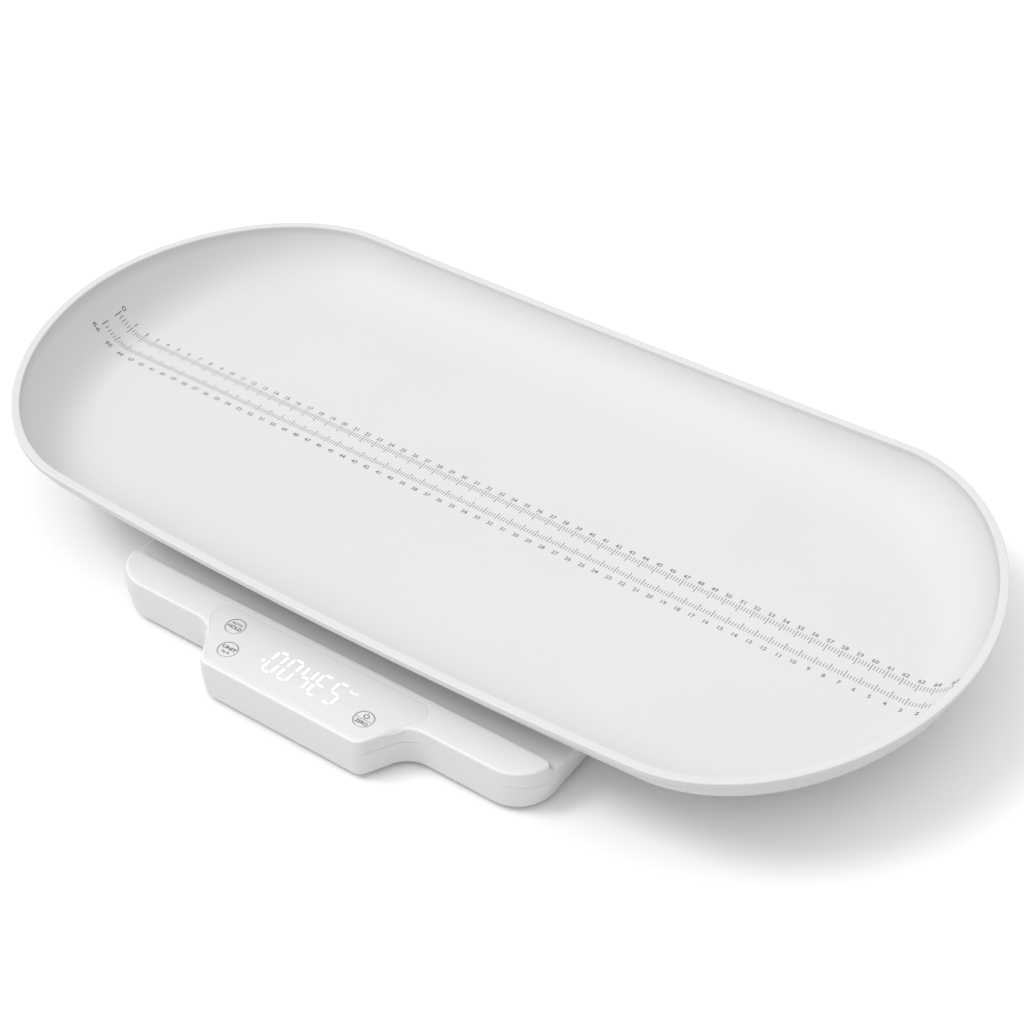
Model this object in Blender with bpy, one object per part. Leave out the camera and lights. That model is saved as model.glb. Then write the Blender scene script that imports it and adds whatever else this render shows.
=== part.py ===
"""Digital baby weighing scale: a lift-off oval tray on a low weighing base.

Lengths are in metres. The working frame has the tray's long axis on x and its short axis on y.
Everything is then moved along y so that the origin is the centre of the whole footprint.
"""

import math

import bmesh
import bpy
from mathutils import Vector

for old in list(bpy.data.objects):
    bpy.data.objects.remove(old)

parts = bpy.data.collections.new("digital_baby_scale")
cutters = bpy.data.collections.new("cutters")
bpy.context.scene.collection.children.link(parts)
bpy.context.scene.collection.children.link(cutters)

# Clearances
touch_clearance = 0.0002
slide_clearance = 0.0003
button_clearance = 0.00025
panel_clearance = 0.00015
screw_clearance = 0.0004

# Overruns of cuts, and how far joined shapes reach into each other
deep = 0.2000
overlap = 0.0010
small_overlap = 0.0002

# Shares
mid_round_share = 0.3
corner_cut_share = 0.25
screw_face_share = 0.85
battery_base_share = 0.9
battery_shoulder_share = 0.85
wall_end_share = 0.35
bump_shares = ((1, 0), (0.7, 1))
lip_blend_share = 4
tray_end_snug_share = 0.34
spring_shares = ((1, 0), (1, 0.25), (0.8, 0.38), (0.85, 0.55), (0.65, 0.7), (0.65, 1))

# Base heights
shell_bottom_z = 0.0030
shell_wall = 0.0024
floor_top_z = shell_bottom_z + shell_wall
deck_z = 0.0275
bar_step = 0.00565
bar_top_z = deck_z + bar_step
parting_drop = 0.0046
parting_z = deck_z - parting_drop
parting_line = 0.0003
deck_under_z = deck_z - shell_wall
bar_under_z = bar_top_z - shell_wall
top_round = 0.0018
deck_round = 0.0020
bottom_round = 0.0030
step_slope = 0.0018

# Base plan, measured from the tray axis
base_half_width = 0.1630
base_back_y = 0.1280
wing_front_y = 0.1836
bar_depth = 0.0234
bar_back_y = wing_front_y - bar_depth
bulge_depth = 0.0287
bulge_front_y = wing_front_y + bulge_depth
bulge_half_width = 0.0607
bulge_flare = 0.0159
bulge_root_x = bulge_half_width + bulge_flare
corner_radius = 0.0266
back_corner_radius = 0.0240
root_radius = 0.0190
bulge_radius = 0.0086
side_draft = 0.0030
side_lean = 0.0036
bar_corner_radius = 0.0060
front_draft = 0.0008
tongue_inset = 0.0013
tongue_height = 0.0013
tongue_clearance = 0.0002

# Tray
tray_half_length = 0.3398
tray_half_width = 0.1629
tray_side_bow = 0.0086
tray_end_reach = 0.1249
tray_end_exponent_share = 1.93
tray_gap = 0.0055
tray_wall = 0.0030
tray_under_z = deck_z + tray_gap
tray_floor_z = tray_under_z + tray_wall
tray_rim_rise = 0.0313
tray_end_rise = 0.0108
tray_wall_reach = 0.0550
tray_side_wall = 0.0024
lip_width = 0.0057
lip_height = 0.0040
lip_round = 0.0009
rib_height = 0.0030
rib_width = 0.0024
rib_half_length = 0.2050
rib_y = 0.0620
cross_rib_half_length = 0.0900
cross_rib_x = 0.1800
pad_inset_x = 0.0430
pad_inset_y = 0.0380
pad_x = base_half_width - pad_inset_x
pad_y = base_back_y - pad_inset_y
pad_radius = 0.0090
pad_foot_radius = 0.0085
pad_edge = 0.0008
pad_boss_wall = 0.0018
pad_boss_height = 0.0024
socket_depth = 0.0012
socket_margin = 0.0015
socket_slope = 0.0006

# Panel and keys
panel_depth = 0.0016
panel_edge = 0.0003
panel_back_inset = 0.0053
panel_waist_inset = 0.0056
panel_front_inset = 0.0045
panel_back_y = bar_back_y + panel_back_inset
panel_waist_y = wing_front_y - panel_waist_inset
panel_front_y = bulge_front_y - panel_front_inset
panel_side_inset = 0.0022
panel_waist_reach = 0.0029
panel_back_reach = 0.0034
panel_front_x = bulge_half_width - panel_side_inset
panel_waist_x = bulge_root_x + panel_waist_reach
panel_back_x = bulge_root_x + panel_back_reach
panel_back_radius = 0.0080
panel_waist_radius = 0.0090
panel_front_radius = 0.0060
panel_bottom_z = bar_top_z - panel_depth
panel_skin = 0.0018
panel_skin_bottom_z = panel_bottom_z - panel_skin
panel_skin_margin = 0.0016
key_radius = 0.00644
key_flange = 0.0013
key_flange_height = 0.0011
key_stem_radius = 0.0015
upper_key_inset = 0.0194
lower_key_inset_x = 0.0076
lower_key_inset_y = 0.0121
right_key_inset_x = 0.0074
right_key_inset_y = 0.0132
key_places = {
    "hold": (upper_key_inset - panel_waist_x, -panel_waist_y),
    "unit": (lower_key_inset_x - panel_front_x, lower_key_inset_y - panel_front_y),
    "power": (panel_front_x - right_key_inset_x, right_key_inset_y - panel_front_y),
}

# Electronics
board_drop = 0.00585
board_top_z = panel_skin_bottom_z - board_drop
board_thickness = 0.0016
board_bottom_z = board_top_z - board_thickness
on_board_z = board_top_z + touch_clearance
board_back_inset = 0.0005
board_front_inset = 0.0038
board_side_inset = 0.0100
board_end_inset = 0.0045
board_back_y = panel_back_y - board_back_inset
board_front_y = panel_front_y - board_front_inset
board_back_x = panel_back_x - board_side_inset
board_front_x = panel_front_x - board_end_inset
board_corner = 0.0020
board_boss_radius = 0.0030
board_screw_hole = 0.0011
board_boss_inset_x = 0.0280
board_boss_inset_y = 0.0055
board_boss_x = board_back_x - board_boss_inset_x
board_boss_y = board_back_y + board_boss_inset_y
board_pin_inset_x = 0.0128
board_pin_inset_y = 0.0034
board_pin_x = board_front_x - board_pin_inset_x
board_pin_y = board_front_y - board_pin_inset_y
switch_half = 0.0030
switch_corner = 0.0005
switch_height = 0.0035
switch_top_z = on_board_z + switch_height
switch_bore = 0.0018
switch_bore_depth = 0.0017
key_stem_gap = 0.0010
key_stem_bottom_z = switch_top_z - switch_bore_depth + key_stem_gap
led_offset = 0.0040
led_inset_y = 0.0155
led_y = board_front_y - led_inset_y
led_half_length = 0.0335
led_half_width = 0.0110
led_top_z = panel_bottom_z - touch_clearance
led_window_margin = 0.0007
led_corner = 0.0010
buzzer_radius = 0.0045
buzzer_height = 0.0046
buzzer_port = 0.0010
buzzer_port_depth = 0.0012
buzzer_inset_y = 0.0058
buzzer_y = board_back_y + buzzer_inset_y
chip_x = 0.0200
chip_half_length = 0.0050
chip_half_width = 0.0030
chip_height = 0.0017
header_inset_y = 0.0175
header_y = board_front_y - header_inset_y
header_half_length = 0.0125
header_half_width = 0.0024
header_height = 0.0042
header_top_z = board_bottom_z - touch_clearance

# Feet and load cells
foot_inset_x = 0.0350
foot_inset_front = 0.0336
foot_inset_back = 0.0300
foot_x = base_half_width - foot_inset_x
foot_front_y = wing_front_y - foot_inset_front
foot_back_y = base_back_y - foot_inset_back
foot_pad_radius = 0.0125
foot_pad_height = 0.0020
foot_pad_round = 0.0008
foot_radius = 0.0142
foot_height = 0.0032
foot_boss_radius = 0.0040
foot_boss_height = 0.0030
foot_bottom_z = foot_pad_height + touch_clearance
foot_top_z = foot_bottom_z + foot_height
cell_bottom_z = foot_top_z + foot_boss_height + touch_clearance
cell_thickness = 0.0016
cell_top_z = cell_bottom_z + cell_thickness
cell_travel = 0.0012
cell_corner = 0.0025
cell_slot = 0.0022
cell_slot_reach = 0.0090
frame_height = 0.0022
frame_top_z = cell_bottom_z - touch_clearance
frame_half = 0.0162
frame_hole = 0.0070
cell_half = frame_half - touch_clearance
well_half = frame_half + slide_clearance
well_wall = 0.0020
well_roof = 0.0020
well_corner = 0.0030
well_roof_z = cell_top_z + cell_travel
well_top_z = well_roof_z + well_roof
cable_radius = 0.0009
cable_hole = 0.0014
cable_offset = 0.0125
cable_floor_z = floor_top_z + cable_radius + slide_clearance
cable_high_z = well_top_z + cable_radius + slide_clearance
cable_end_z = header_top_z - header_height / 2
cable_pitch = 0.0036
turn_gap = 0.0270
lane_gap = 0.0300
near_lane_gap = 0.0080
turn_x = foot_x - turn_gap
lane_y = foot_front_y - lane_gap
near_lane_y = foot_front_y - near_lane_gap

# Battery bay and door
battery_rows = 3
battery_radius = 0.00525
battery_length = 0.0437
battery_nub_radius = 0.0019
battery_nub = 0.0008
battery_pitch = 0.0110
battery_inset_y = 0.0265
battery_mid_y = base_back_y - battery_inset_y
bay_end_room = 0.00365
bay_side_room = 0.0005
bay_roof_room = 0.0004
bay_skin = 0.0020
bay_side_wall = 0.0042
bay_half_length = battery_length / 2 + bay_end_room
bay_half_width = battery_rows * battery_pitch / 2 + bay_side_room
door_edge = 0.0042
door_tongue_reach = 0.0023
door_lip_reach = 0.0038
door_half = bay_half_length + door_edge
door_tongue_half = door_half + door_tongue_reach
door_lip_half = door_half + door_lip_reach
bay_block_half = door_tongue_half + bay_side_wall
door_front_inset = 0.0045
door_front_y = battery_mid_y - bay_half_width - door_front_inset
door_tongue_inset = 0.0020
door_tongue_front_y = door_front_y + door_tongue_inset
door_tongue_back_inset = 0.0105
door_tongue_back_y = base_back_y - door_tongue_back_inset
door_thickness = 0.0020
door_tongue_z = floor_top_z + touch_clearance
door_tongue_thickness = 0.0010
door_lip_height = 0.0062
door_ridges = 4
door_ridge = 0.0005
door_ridge_width = 0.0012
door_ridge_half = 0.0120
door_ridge_pitch = 0.0032
door_ridge_inset = 0.0160
door_ridge_y = base_back_y - door_ridge_inset
tongue_top_clear_z = door_tongue_z + door_tongue_thickness + slide_clearance
battery_z = tongue_top_clear_z + battery_radius
bay_roof_z = battery_z + battery_radius + bay_roof_room
contact_thickness = 0.0005
contact_margin = 0.0010
contact_half = bay_half_width - contact_margin
contact_height = 0.0090
contact_bump_radius = 0.0022
spring_radius = 0.0034

# Screws
screw_head_radius = 0.0028
screw_head_height = 0.0020
screw_shank_radius = 0.0013
screw_sink = 0.0027
screw_bottom_z = shell_bottom_z + screw_sink
screw_top_z = 0.0204
screw_tip_gap = 0.0011
screw_recess_radius = 0.0013
screw_recess_depth = 0.0011
column_radius = 0.0050
column_top_z = 0.0148
counterbore_radius = screw_head_radius + screw_clearance
counterbore_top_z = screw_bottom_z + screw_head_height + touch_clearance
column_hole = screw_shank_radius + screw_clearance
boss_radius = 0.0040
boss_hole = screw_shank_radius + touch_clearance
screw_foot_gap = 0.0300
screw_side_inset = 0.0130
screw_back_inset = 0.0100
screw_side_y = 0.0300
screw_front_y = foot_front_y - screw_foot_gap
screw_side_x = base_half_width - screw_side_inset
screw_back_x = foot_x - screw_foot_gap
screw_back_y = base_back_y - screw_back_inset
screw_places = {
    "1": (-foot_x, -screw_front_y),
    "2": (foot_x, -screw_front_y),
    "3": (-screw_side_x, -screw_side_y),
    "4": (screw_side_x, -screw_side_y),
    "5": (-screw_back_x, screw_back_y),
    "6": (screw_back_x, screw_back_y),
}
board_screw_head = 0.0022
board_screw_head_height = 0.0014
board_screw_shank = 0.0009
board_screw_reach = 0.0034

# The whole footprint runs from the bulge's front to the far side of the tray.
tray_full_half_width = tray_half_width + tray_side_bow
shift_y = (bulge_front_y - tray_full_half_width) / 2


# Helpers
def material(name, colour, roughness, metallic=0, transmission=0):
    made = bpy.data.materials.new(name)
    made.use_nodes = True
    shader = made.node_tree.nodes["Principled BSDF"]
    shader.inputs["Base Color"].default_value = (*colour, 1)
    shader.inputs["Roughness"].default_value = roughness
    shader.inputs["Metallic"].default_value = metallic
    shader.inputs["Transmission Weight"].default_value = transmission
    made.diffuse_color = (*colour, 1)
    return made


def object_from(name, mesh, collection, paint=None, origin=None):
    """Places a mesh written in the working frame, with its origin where asked."""
    origin = origin or (0, 0, 0)
    for vertex in mesh.vertices:
        vertex.co.x -= origin[0]
        vertex.co.y -= origin[1]
        vertex.co.z -= origin[2]
    made = bpy.data.objects.new(name, mesh)
    made.location = (origin[0], origin[1] + shift_y, origin[2])
    collection.objects.link(made)
    if paint:
        mesh.materials.append(paint)
    if collection is cutters:
        made.hide_render = True
        made.display_type = "WIRE"
    return made


def loft(name, rings, collection=None, paint=None, origin=None):
    """A closed body through rings with the same number of points each."""
    mesh = bpy.data.meshes.new(name)
    shape = bmesh.new()
    rows = [[shape.verts.new(point) for point in ring] for ring in rings]
    count = len(rows[0])
    for low, high in zip(rows, rows[1:]):
        for i in range(count):
            j = (i + 1) % count
            shape.faces.new((low[i], low[j], high[j], high[i]))
    shape.faces.new(list(reversed(rows[0])))
    shape.faces.new(rows[-1])
    bmesh.ops.recalc_face_normals(shape, faces=shape.faces)
    shape.to_mesh(mesh)
    shape.free()
    return object_from(name, mesh, collection or cutters, paint, origin)


def circle(centre, radius, z, steps=32):
    found = []
    for i in range(steps):
        angle = 2 * math.pi * i / steps
        x = centre[0] + radius * math.cos(angle)
        y = centre[1] + radius * math.sin(angle)
        found.append((x, y, z))
    return found


def turned(name, centre, profile, collection=None, paint=None, origin=None, steps=24):
    """Profile is a list of (radius, z) from bottom to top."""
    rings = [circle(centre, radius, z, steps) for radius, z in profile]
    return loft(name, rings, collection, paint, origin)


def turned_along_x(name, centre, profile, collection=None, paint=None, steps=20):
    """Profile is a list of (radius, x) along a line through centre, which is (y, z)."""
    rings = []
    for radius, x in profile:
        ring = [(x, y, z) for y, z, _ in circle(centre, radius, 0, steps)]
        rings.append(ring)
    return loft(name, rings, collection, paint)


def screw_profile(head_radius, head_height, bottom_z, shank_radius, top_z):
    """A screw with its head down, for turned()."""
    head_top_z = bottom_z + head_height
    return [
        (head_radius * screw_face_share, bottom_z),
        (head_radius, bottom_z + head_height * mid_round_share),
        (head_radius, head_top_z),
        (shank_radius, head_top_z),
        (shank_radius, top_z),
    ]


def rounded(corners, inset=0, steps=6):
    """Offsets a polygon inwards and rounds its corners; corners are (x, y, radius), anticlockwise."""
    count = len(corners)
    found = []
    for i in range(count):
        x0, y0, _ = corners[i - 1]
        x1, y1, radius = corners[i]
        x2, y2, _ = corners[(i + 1) % count]
        ax, ay = x1 - x0, y1 - y0
        bx, by = x2 - x1, y2 - y1
        la, lb = math.hypot(ax, ay), math.hypot(bx, by)
        ax, ay, bx, by = ax / la, ay / la, bx / lb, by / lb
        turn = ax * by - ay * bx
        bend = math.atan2(turn, ax * bx + ay * by)
        shift = inset * math.tan(bend / 2)
        px = x1 - ay * inset - ax * shift
        py = y1 + ax * inset - ay * shift
        size = radius - inset if turn > 0 else radius + inset
        size = max(size, small_overlap)
        reach = size * math.tan(abs(bend) / 2)
        sx, sy = px - ax * reach, py - ay * reach
        side = 1 if turn > 0 else -1
        cx, cy = sx - ay * size * side, sy + ax * size * side
        start = math.atan2(sy - cy, sx - cx)
        for k in range(steps + 1):
            angle = start + bend * k / steps
            found.append((cx + size * math.cos(angle), cy + size * math.sin(angle)))
    return found


def at(outline, z, x_share=1):
    return [(x * x_share, y, z) for x, y in outline]


def box(name, low, high, collection=None, paint=None, origin=None):
    ring = [(low[0], low[1]), (high[0], low[1]), (high[0], high[1]), (low[0], high[1])]
    return loft(name, [at(ring, low[2]), at(ring, high[2])], collection, paint, origin)


def rounded_box(name, centre, half, z0, z1, radius, collection=None, paint=None, steps=4):
    cx, cy = centre
    hx, hy = half
    corners = [
        (cx - hx, cy - hy, radius),
        (cx + hx, cy - hy, radius),
        (cx + hx, cy + hy, radius),
        (cx - hx, cy + hy, radius),
    ]
    ring = rounded(corners, 0, steps)
    return loft(name, [at(ring, z0), at(ring, z1)], collection, paint)


def boolean(target, other, operation):
    modifier = target.modifiers.new(other.name, "BOOLEAN")
    modifier.operation = operation
    modifier.solver = "EXACT"
    modifier.object = other


def cut(target, *others):
    for other in others:
        boolean(target, other, "DIFFERENCE")


def add(target, *others):
    for other in others:
        boolean(target, other, "UNION")


def smooth_path(points, rounds=1):
    """Cuts the corners of a path, keeping its two ends."""
    for _ in range(rounds):
        found = [points[0]]
        for a, b in zip(points, points[1:]):
            found.append(tuple(p + (q - p) * corner_cut_share for p, q in zip(a, b)))
            found.append(tuple(q + (p - q) * corner_cut_share for p, q in zip(a, b)))
        found.append(points[-1])
        points = found
    return points


def tube(name, points, radius, paint, sides=8):
    """A round cord along a path, as one closed body."""
    path = [Vector(point) for point in points]
    along = (path[1] - path[0]).normalized()
    guide = Vector((0, 0, 1)) if abs(along.z) < math.sqrt(0.5) else Vector((1, 0, 0))
    side = along.cross(guide).normalized()
    rings = []
    for i, point in enumerate(path):
        before = path[max(i - 1, 0)]
        after = path[min(i + 1, len(path) - 1)]
        along = (after - before).normalized()
        side = (side - along * side.dot(along)).normalized()
        other = along.cross(side)
        ring = []
        for k in range(sides):
            angle = 2 * math.pi * k / sides
            ring.append(point + (side * math.cos(angle) + other * math.sin(angle)) * radius)
        rings.append(ring)
    return loft(name, rings, parts, paint)


# Materials
tray_plastic = material("tray_plastic", (0.86, 0.86, 0.85), 0.42)
case_plastic = material("case_plastic", (0.84, 0.84, 0.83), 0.3)
inner_plastic = material("inner_plastic", (0.8, 0.8, 0.79), 0.5)
panel_plastic = material("panel_plastic", (0.9, 0.9, 0.9), 0.15, transmission=0.2)
key_plastic = material("key_plastic", (0.9, 0.9, 0.9), 0.25)
rubber = material("rubber", (0.09, 0.09, 0.09), 0.8)
silicone = material("silicone", (0.62, 0.62, 0.62), 0.7)
steel = material("steel", (0.62, 0.63, 0.65), 0.3, 1)
nickel = material("nickel", (0.7, 0.68, 0.62), 0.3, 1)
board_green = material("board_green", (0.02, 0.16, 0.07), 0.5)
black_plastic = material("black_plastic", (0.03, 0.03, 0.03), 0.5)
led_white = material("led_white", (0.75, 0.75, 0.75), 0.4)
cell_jacket = material("cell_jacket", (0.12, 0.13, 0.16), 0.35)
cable_grey = material("cable_grey", (0.35, 0.35, 0.36), 0.6)
cable_red = material("cable_red", (0.5, 0.03, 0.03), 0.6)
cable_black = material("cable_black", (0.03, 0.03, 0.03), 0.6)


# Tray shell
def tray_rise(x):
    return tray_rim_rise + tray_end_rise * (x / tray_half_length) ** 2


def tray_ring(inset, lift_share, drop, depth=0, end_steps=13, side_steps=5):
    """Ring of the tray at an inset from its rim, at a share of the rim's height, less a drop.

    Depth is a further inset that is smaller at the two ends, where the wall is steeper.
    """
    straight = tray_half_length - tray_end_reach
    bend = 2 / tray_end_exponent_share
    quarter = []
    for i in range(end_steps):
        angle = math.pi / 2 * i / end_steps
        snug = inset + depth * (1 - tray_end_snug_share * math.cos(angle) ** 4)
        x = straight + (tray_end_reach - snug) * math.cos(angle) ** bend
        y = (tray_half_width - snug) * math.sin(angle) ** bend
        quarter.append((x, y))
    for i in range(side_steps):
        x = straight * (1 - i / side_steps)
        quarter.append((x, tray_half_width - inset - depth))
    outline = list(quarter)
    outline.append((0, tray_half_width - inset - depth))
    outline += [(-x, y) for x, y in reversed(quarter)]
    outline += [(-x, -y) for x, y in quarter[1:]]
    outline.append((0, inset + depth - tray_half_width))
    outline += [(x, -y) for x, y in reversed(quarter[1:])]
    ring = []
    for x, y in outline:
        bow = 1 + tray_side_bow * (1 - (x / tray_half_length) ** 2) / tray_half_width
        z = tray_floor_z + tray_rise(x) * lift_share - drop
        ring.append((x, y * bow, z))
    return ring


def tray_rings():
    """The whole closed skin, from the middle of the underside out, over the lip and back in."""
    rings = []
    outer_steps = 4
    inner_steps = 8
    wall_depth = tray_wall_reach - lip_width
    for i in range(outer_steps + 2):
        angle = math.pi / 2 * i / (outer_steps + 1)
        slope = math.atan2(tray_rim_rise * math.sin(angle), wall_depth * math.cos(angle))
        share = 1 - math.cos(angle)
        inset = lip_width - tray_side_wall * math.sin(slope)
        drop = tray_wall * math.cos(slope) + lip_height * share ** lip_blend_share
        rings.append(tray_ring(inset, share, drop, wall_depth * (1 - math.sin(angle))))
    rings.append(tray_ring(lip_round / 2, 1, lip_height))
    rings.append(tray_ring(0, 1, lip_height - lip_round / 2))
    rings.append(tray_ring(0, 1, lip_round))
    rings.append(tray_ring(lip_round * mid_round_share, 1, lip_round * mid_round_share))
    rings.append(tray_ring(lip_round, 1, 0))
    rings.append(tray_ring(lip_width - lip_round, 1, 0))
    inner_mid = lip_width - lip_round * mid_round_share
    rings.append(tray_ring(inner_mid, 1, lip_round * mid_round_share))
    for i in reversed(range(inner_steps + 1)):
        angle = math.pi / 2 * i / (inner_steps + wall_end_share)
        depth = wall_depth * (1 - math.sin(angle))
        rings.append(tray_ring(lip_width, 1 - math.cos(angle), 0, depth))
    return rings


tray_shell = loft("tray_shell", tray_rings(), parts, tray_plastic)
pad_places = {
    "1": (-pad_x, -pad_y),
    "2": (pad_x, -pad_y),
    "3": (-pad_x, pad_y),
    "4": (pad_x, pad_y),
}
for side in (-1, 1):
    low = (-rib_half_length, side * rib_y - rib_width / 2, tray_under_z - rib_height)
    high = (rib_half_length, side * rib_y + rib_width / 2, tray_under_z + overlap)
    add(tray_shell, box(f"rib_long_{side}", low, high))
    x = side * cross_rib_x
    low = (x - rib_width / 2, -cross_rib_half_length, tray_under_z - rib_height)
    high = (x + rib_width / 2, cross_rib_half_length, tray_under_z + overlap)
    add(tray_shell, box(f"rib_cross_{side}", low, high))
for number, place in pad_places.items():
    outer = pad_radius + touch_clearance + pad_boss_wall
    low_z = tray_under_z - pad_boss_height
    profile = [(outer, low_z), (outer, tray_under_z + overlap)]
    add(tray_shell, turned(f"pad_boss_{number}", place, profile))
for number, place in pad_places.items():
    inner = pad_radius + touch_clearance
    profile = [(inner, tray_under_z - deep), (inner, tray_under_z)]
    cut(tray_shell, turned(f"pad_pocket_{number}", place, profile))

# Each pad is pressed into the tray and rests in a shallow socket of the deck.
pad_bottom_z = deck_z - socket_depth + touch_clearance
for number, place in pad_places.items():
    profile = [
        (pad_foot_radius - pad_edge, pad_bottom_z),
        (pad_foot_radius, pad_bottom_z + pad_edge),
        (pad_foot_radius, tray_under_z - pad_boss_height),
        (pad_radius, tray_under_z - pad_boss_height + touch_clearance),
        (pad_radius, tray_under_z - touch_clearance),
    ]
    turned(f"tray_pad_{number}", place, profile, parts, silicone)


# Base outline
base_corners = [
    (-base_half_width, -wing_front_y, corner_radius),
    (-bulge_root_x, -wing_front_y, root_radius),
    (-bulge_half_width, -bulge_front_y, bulge_radius),
    (bulge_half_width, -bulge_front_y, bulge_radius),
    (bulge_root_x, -wing_front_y, root_radius),
    (base_half_width, -wing_front_y, corner_radius),
    (base_half_width, base_back_y, back_corner_radius),
    (-base_half_width, base_back_y, back_corner_radius),
]


def base_ring(inset, z, x_share=1):
    return at(rounded(base_corners, inset), z, x_share)


def lean_share(z):
    """Share of its length that the base keeps at a height above the parting line."""
    return 1 - side_lean / base_half_width * (z - parting_z) / (bar_top_z - parting_z)


def leaning_ring(inset, z):
    return base_ring(inset, z, lean_share(z))


def round_over(inset, z, radius, steps=4):
    """Rings that round a top edge over, ending flat at height z."""
    found = []
    for i in range(steps + 1):
        angle = math.pi / 2 * i / steps
        found.append((inset + radius * (1 - math.cos(angle)), z - radius * (1 - math.sin(angle))))
    return found


# Lower shell
bottom_share = 1 - side_draft / base_half_width
bottom_mid = bottom_round * mid_round_share
tongue_top_z = parting_z + tongue_height
lower_rings = [
    base_ring(front_draft + bottom_round, shell_bottom_z, bottom_share),
    base_ring(front_draft + bottom_mid, shell_bottom_z + bottom_mid, bottom_share),
    base_ring(front_draft, shell_bottom_z + bottom_round, bottom_share),
    base_ring(0, parting_z - parting_line),
    base_ring(tongue_inset, parting_z - parting_line),
    leaning_ring(tongue_inset, tongue_top_z),
]
lower_shell = loft("lower_shell", lower_rings, parts, case_plastic)
lower_cavity = loft(
    "lower_cavity",
    [
        base_ring(front_draft + shell_wall, floor_top_z, bottom_share),
        base_ring(shell_wall, parting_z - parting_line),
        leaning_ring(shell_wall, tongue_top_z + overlap),
    ],
)
cut(lower_shell, lower_cavity)

foot_places = {
    "1": (-foot_x, -foot_front_y),
    "2": (foot_x, -foot_front_y),
    "3": (-foot_x, foot_back_y),
    "4": (foot_x, foot_back_y),
}
for number, place in foot_places.items():
    outer = (well_half + well_wall, well_half + well_wall)
    low_z = floor_top_z - overlap
    block = rounded_box(
        f"well_block_{number}", place, outer, low_z, well_top_z, well_corner + well_wall
    )
    add(lower_shell, block)
for number, place in foot_places.items():
    inner = (well_half, well_half)
    low_z = shell_bottom_z - overlap
    pocket = rounded_box(f"well_{number}", place, inner, low_z, well_roof_z, well_corner)
    cut(lower_shell, pocket)
    across = -1 if place[0] > 0 else 1
    along = -1 if place[1] > 0 else 1
    hole_at = (place[0] + across * cable_offset, place[1] + along * cable_offset)
    profile = [(cable_hole, well_roof_z - overlap), (cable_hole, well_top_z + overlap)]
    cut(lower_shell, turned(f"well_cable_hole_{number}", hole_at, profile, steps=12))

for number, place in screw_places.items():
    profile = [(column_radius, floor_top_z - overlap), (column_radius, column_top_z)]
    add(lower_shell, turned(f"column_{number}", place, profile, steps=16))
for number, place in screw_places.items():
    profile = [
        (counterbore_radius, shell_bottom_z - overlap),
        (counterbore_radius, counterbore_top_z),
        (column_hole, counterbore_top_z),
        (column_hole, column_top_z + overlap),
    ]
    cut(lower_shell, turned(f"column_bore_{number}", place, profile, steps=16))

# The battery bay is a block over the door's opening; the door slides out through the back wall.
bay_high_y = battery_mid_y + bay_half_width + bay_skin
bay_block = box(
    "bay_block",
    (-bay_block_half, door_front_y - bay_skin - slide_clearance, floor_top_z - overlap),
    (bay_block_half, bay_high_y, bay_roof_z + bay_skin),
)
add(lower_shell, bay_block)
bay_pocket = box(
    "bay_pocket",
    (-bay_half_length, battery_mid_y - bay_half_width, shell_bottom_z),
    (bay_half_length, battery_mid_y + bay_half_width, bay_roof_z),
)
cut(lower_shell, bay_pocket)
groove = box(
    "door_groove",
    (-door_tongue_half - slide_clearance, door_front_y + overlap, floor_top_z),
    (door_tongue_half + slide_clearance, base_back_y - shell_wall / 2, tongue_top_clear_z),
)
cut(lower_shell, groove)
opening = box(
    "door_opening",
    (-door_half - slide_clearance, door_front_y - slide_clearance, shell_bottom_z - overlap),
    (door_half + slide_clearance, base_back_y - shell_wall / 2, floor_top_z + overlap / 2),
)
cut(lower_shell, opening)
lip_opening = box(
    "door_lip_opening",
    (-door_lip_half - slide_clearance, base_back_y - shell_wall - overlap, -overlap),
    (
        door_lip_half + slide_clearance,
        base_back_y + overlap,
        shell_bottom_z + door_lip_height + slide_clearance,
    ),
)
cut(lower_shell, lip_opening)
lead_z = bay_roof_z - cable_hole - overlap / 2
for side in (-1, 1):
    ends = (side * (bay_half_length - overlap), side * (bay_block_half + overlap))
    cutter = box(
        f"lead_tunnel_{side}",
        (min(ends), battery_mid_y - cable_hole, lead_z - cable_hole),
        (max(ends), battery_mid_y + cable_hole, lead_z + cable_hole),
    )
    cut(lower_shell, cutter)

# Upper shell
upper_rings = [leaning_ring(0, parting_z)]
for inset, z in round_over(0, bar_top_z, top_round):
    upper_rings.append(leaning_ring(inset, z))
upper_shell = loft("upper_shell", upper_rings, parts, case_plastic)

# Behind the bar the shell is cut down to the deck, and the deck's own edge is rounded.
deck_rings = [leaning_ring(-overlap, parting_z - overlap)]
deck_rings.append(leaning_ring(-overlap, deck_z - deck_round - small_overlap))
for inset, z in round_over(0, deck_z, deck_round):
    deck_rings.append(leaning_ring(inset, z))
deck_form = loft("deck_form", deck_rings)


def step_ring(y, z, steps=6):
    """Plan of what is cut away behind the bar, whose two back corners are rounded."""
    side = base_half_width * lean_share(z) + small_overlap
    curve = []
    for i in range(steps + 1):
        angle = math.pi / 2 * i / steps
        across = bar_corner_radius * (1 - math.sin(angle))
        along = bar_corner_radius * (1 - math.cos(angle))
        curve.append((side - along, y - across, z))
    right = [(deep, y - bar_corner_radius, z), (deep, deep, z)]
    left = [(-deep, deep, z), (-deep, y - bar_corner_radius, z)]
    return left + [(-x, y, z) for x, y, z in curve] + list(reversed(curve)) + right


step_low = step_ring(-bar_back_y + step_slope, parting_z - small_overlap)
step_high = step_ring(-bar_back_y - step_slope / 2, bar_top_z + overlap)
deck_cut = loft("deck_cut", [step_low, step_high])
cut(deck_cut, deck_form)
cut(upper_shell, deck_cut)

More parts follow.
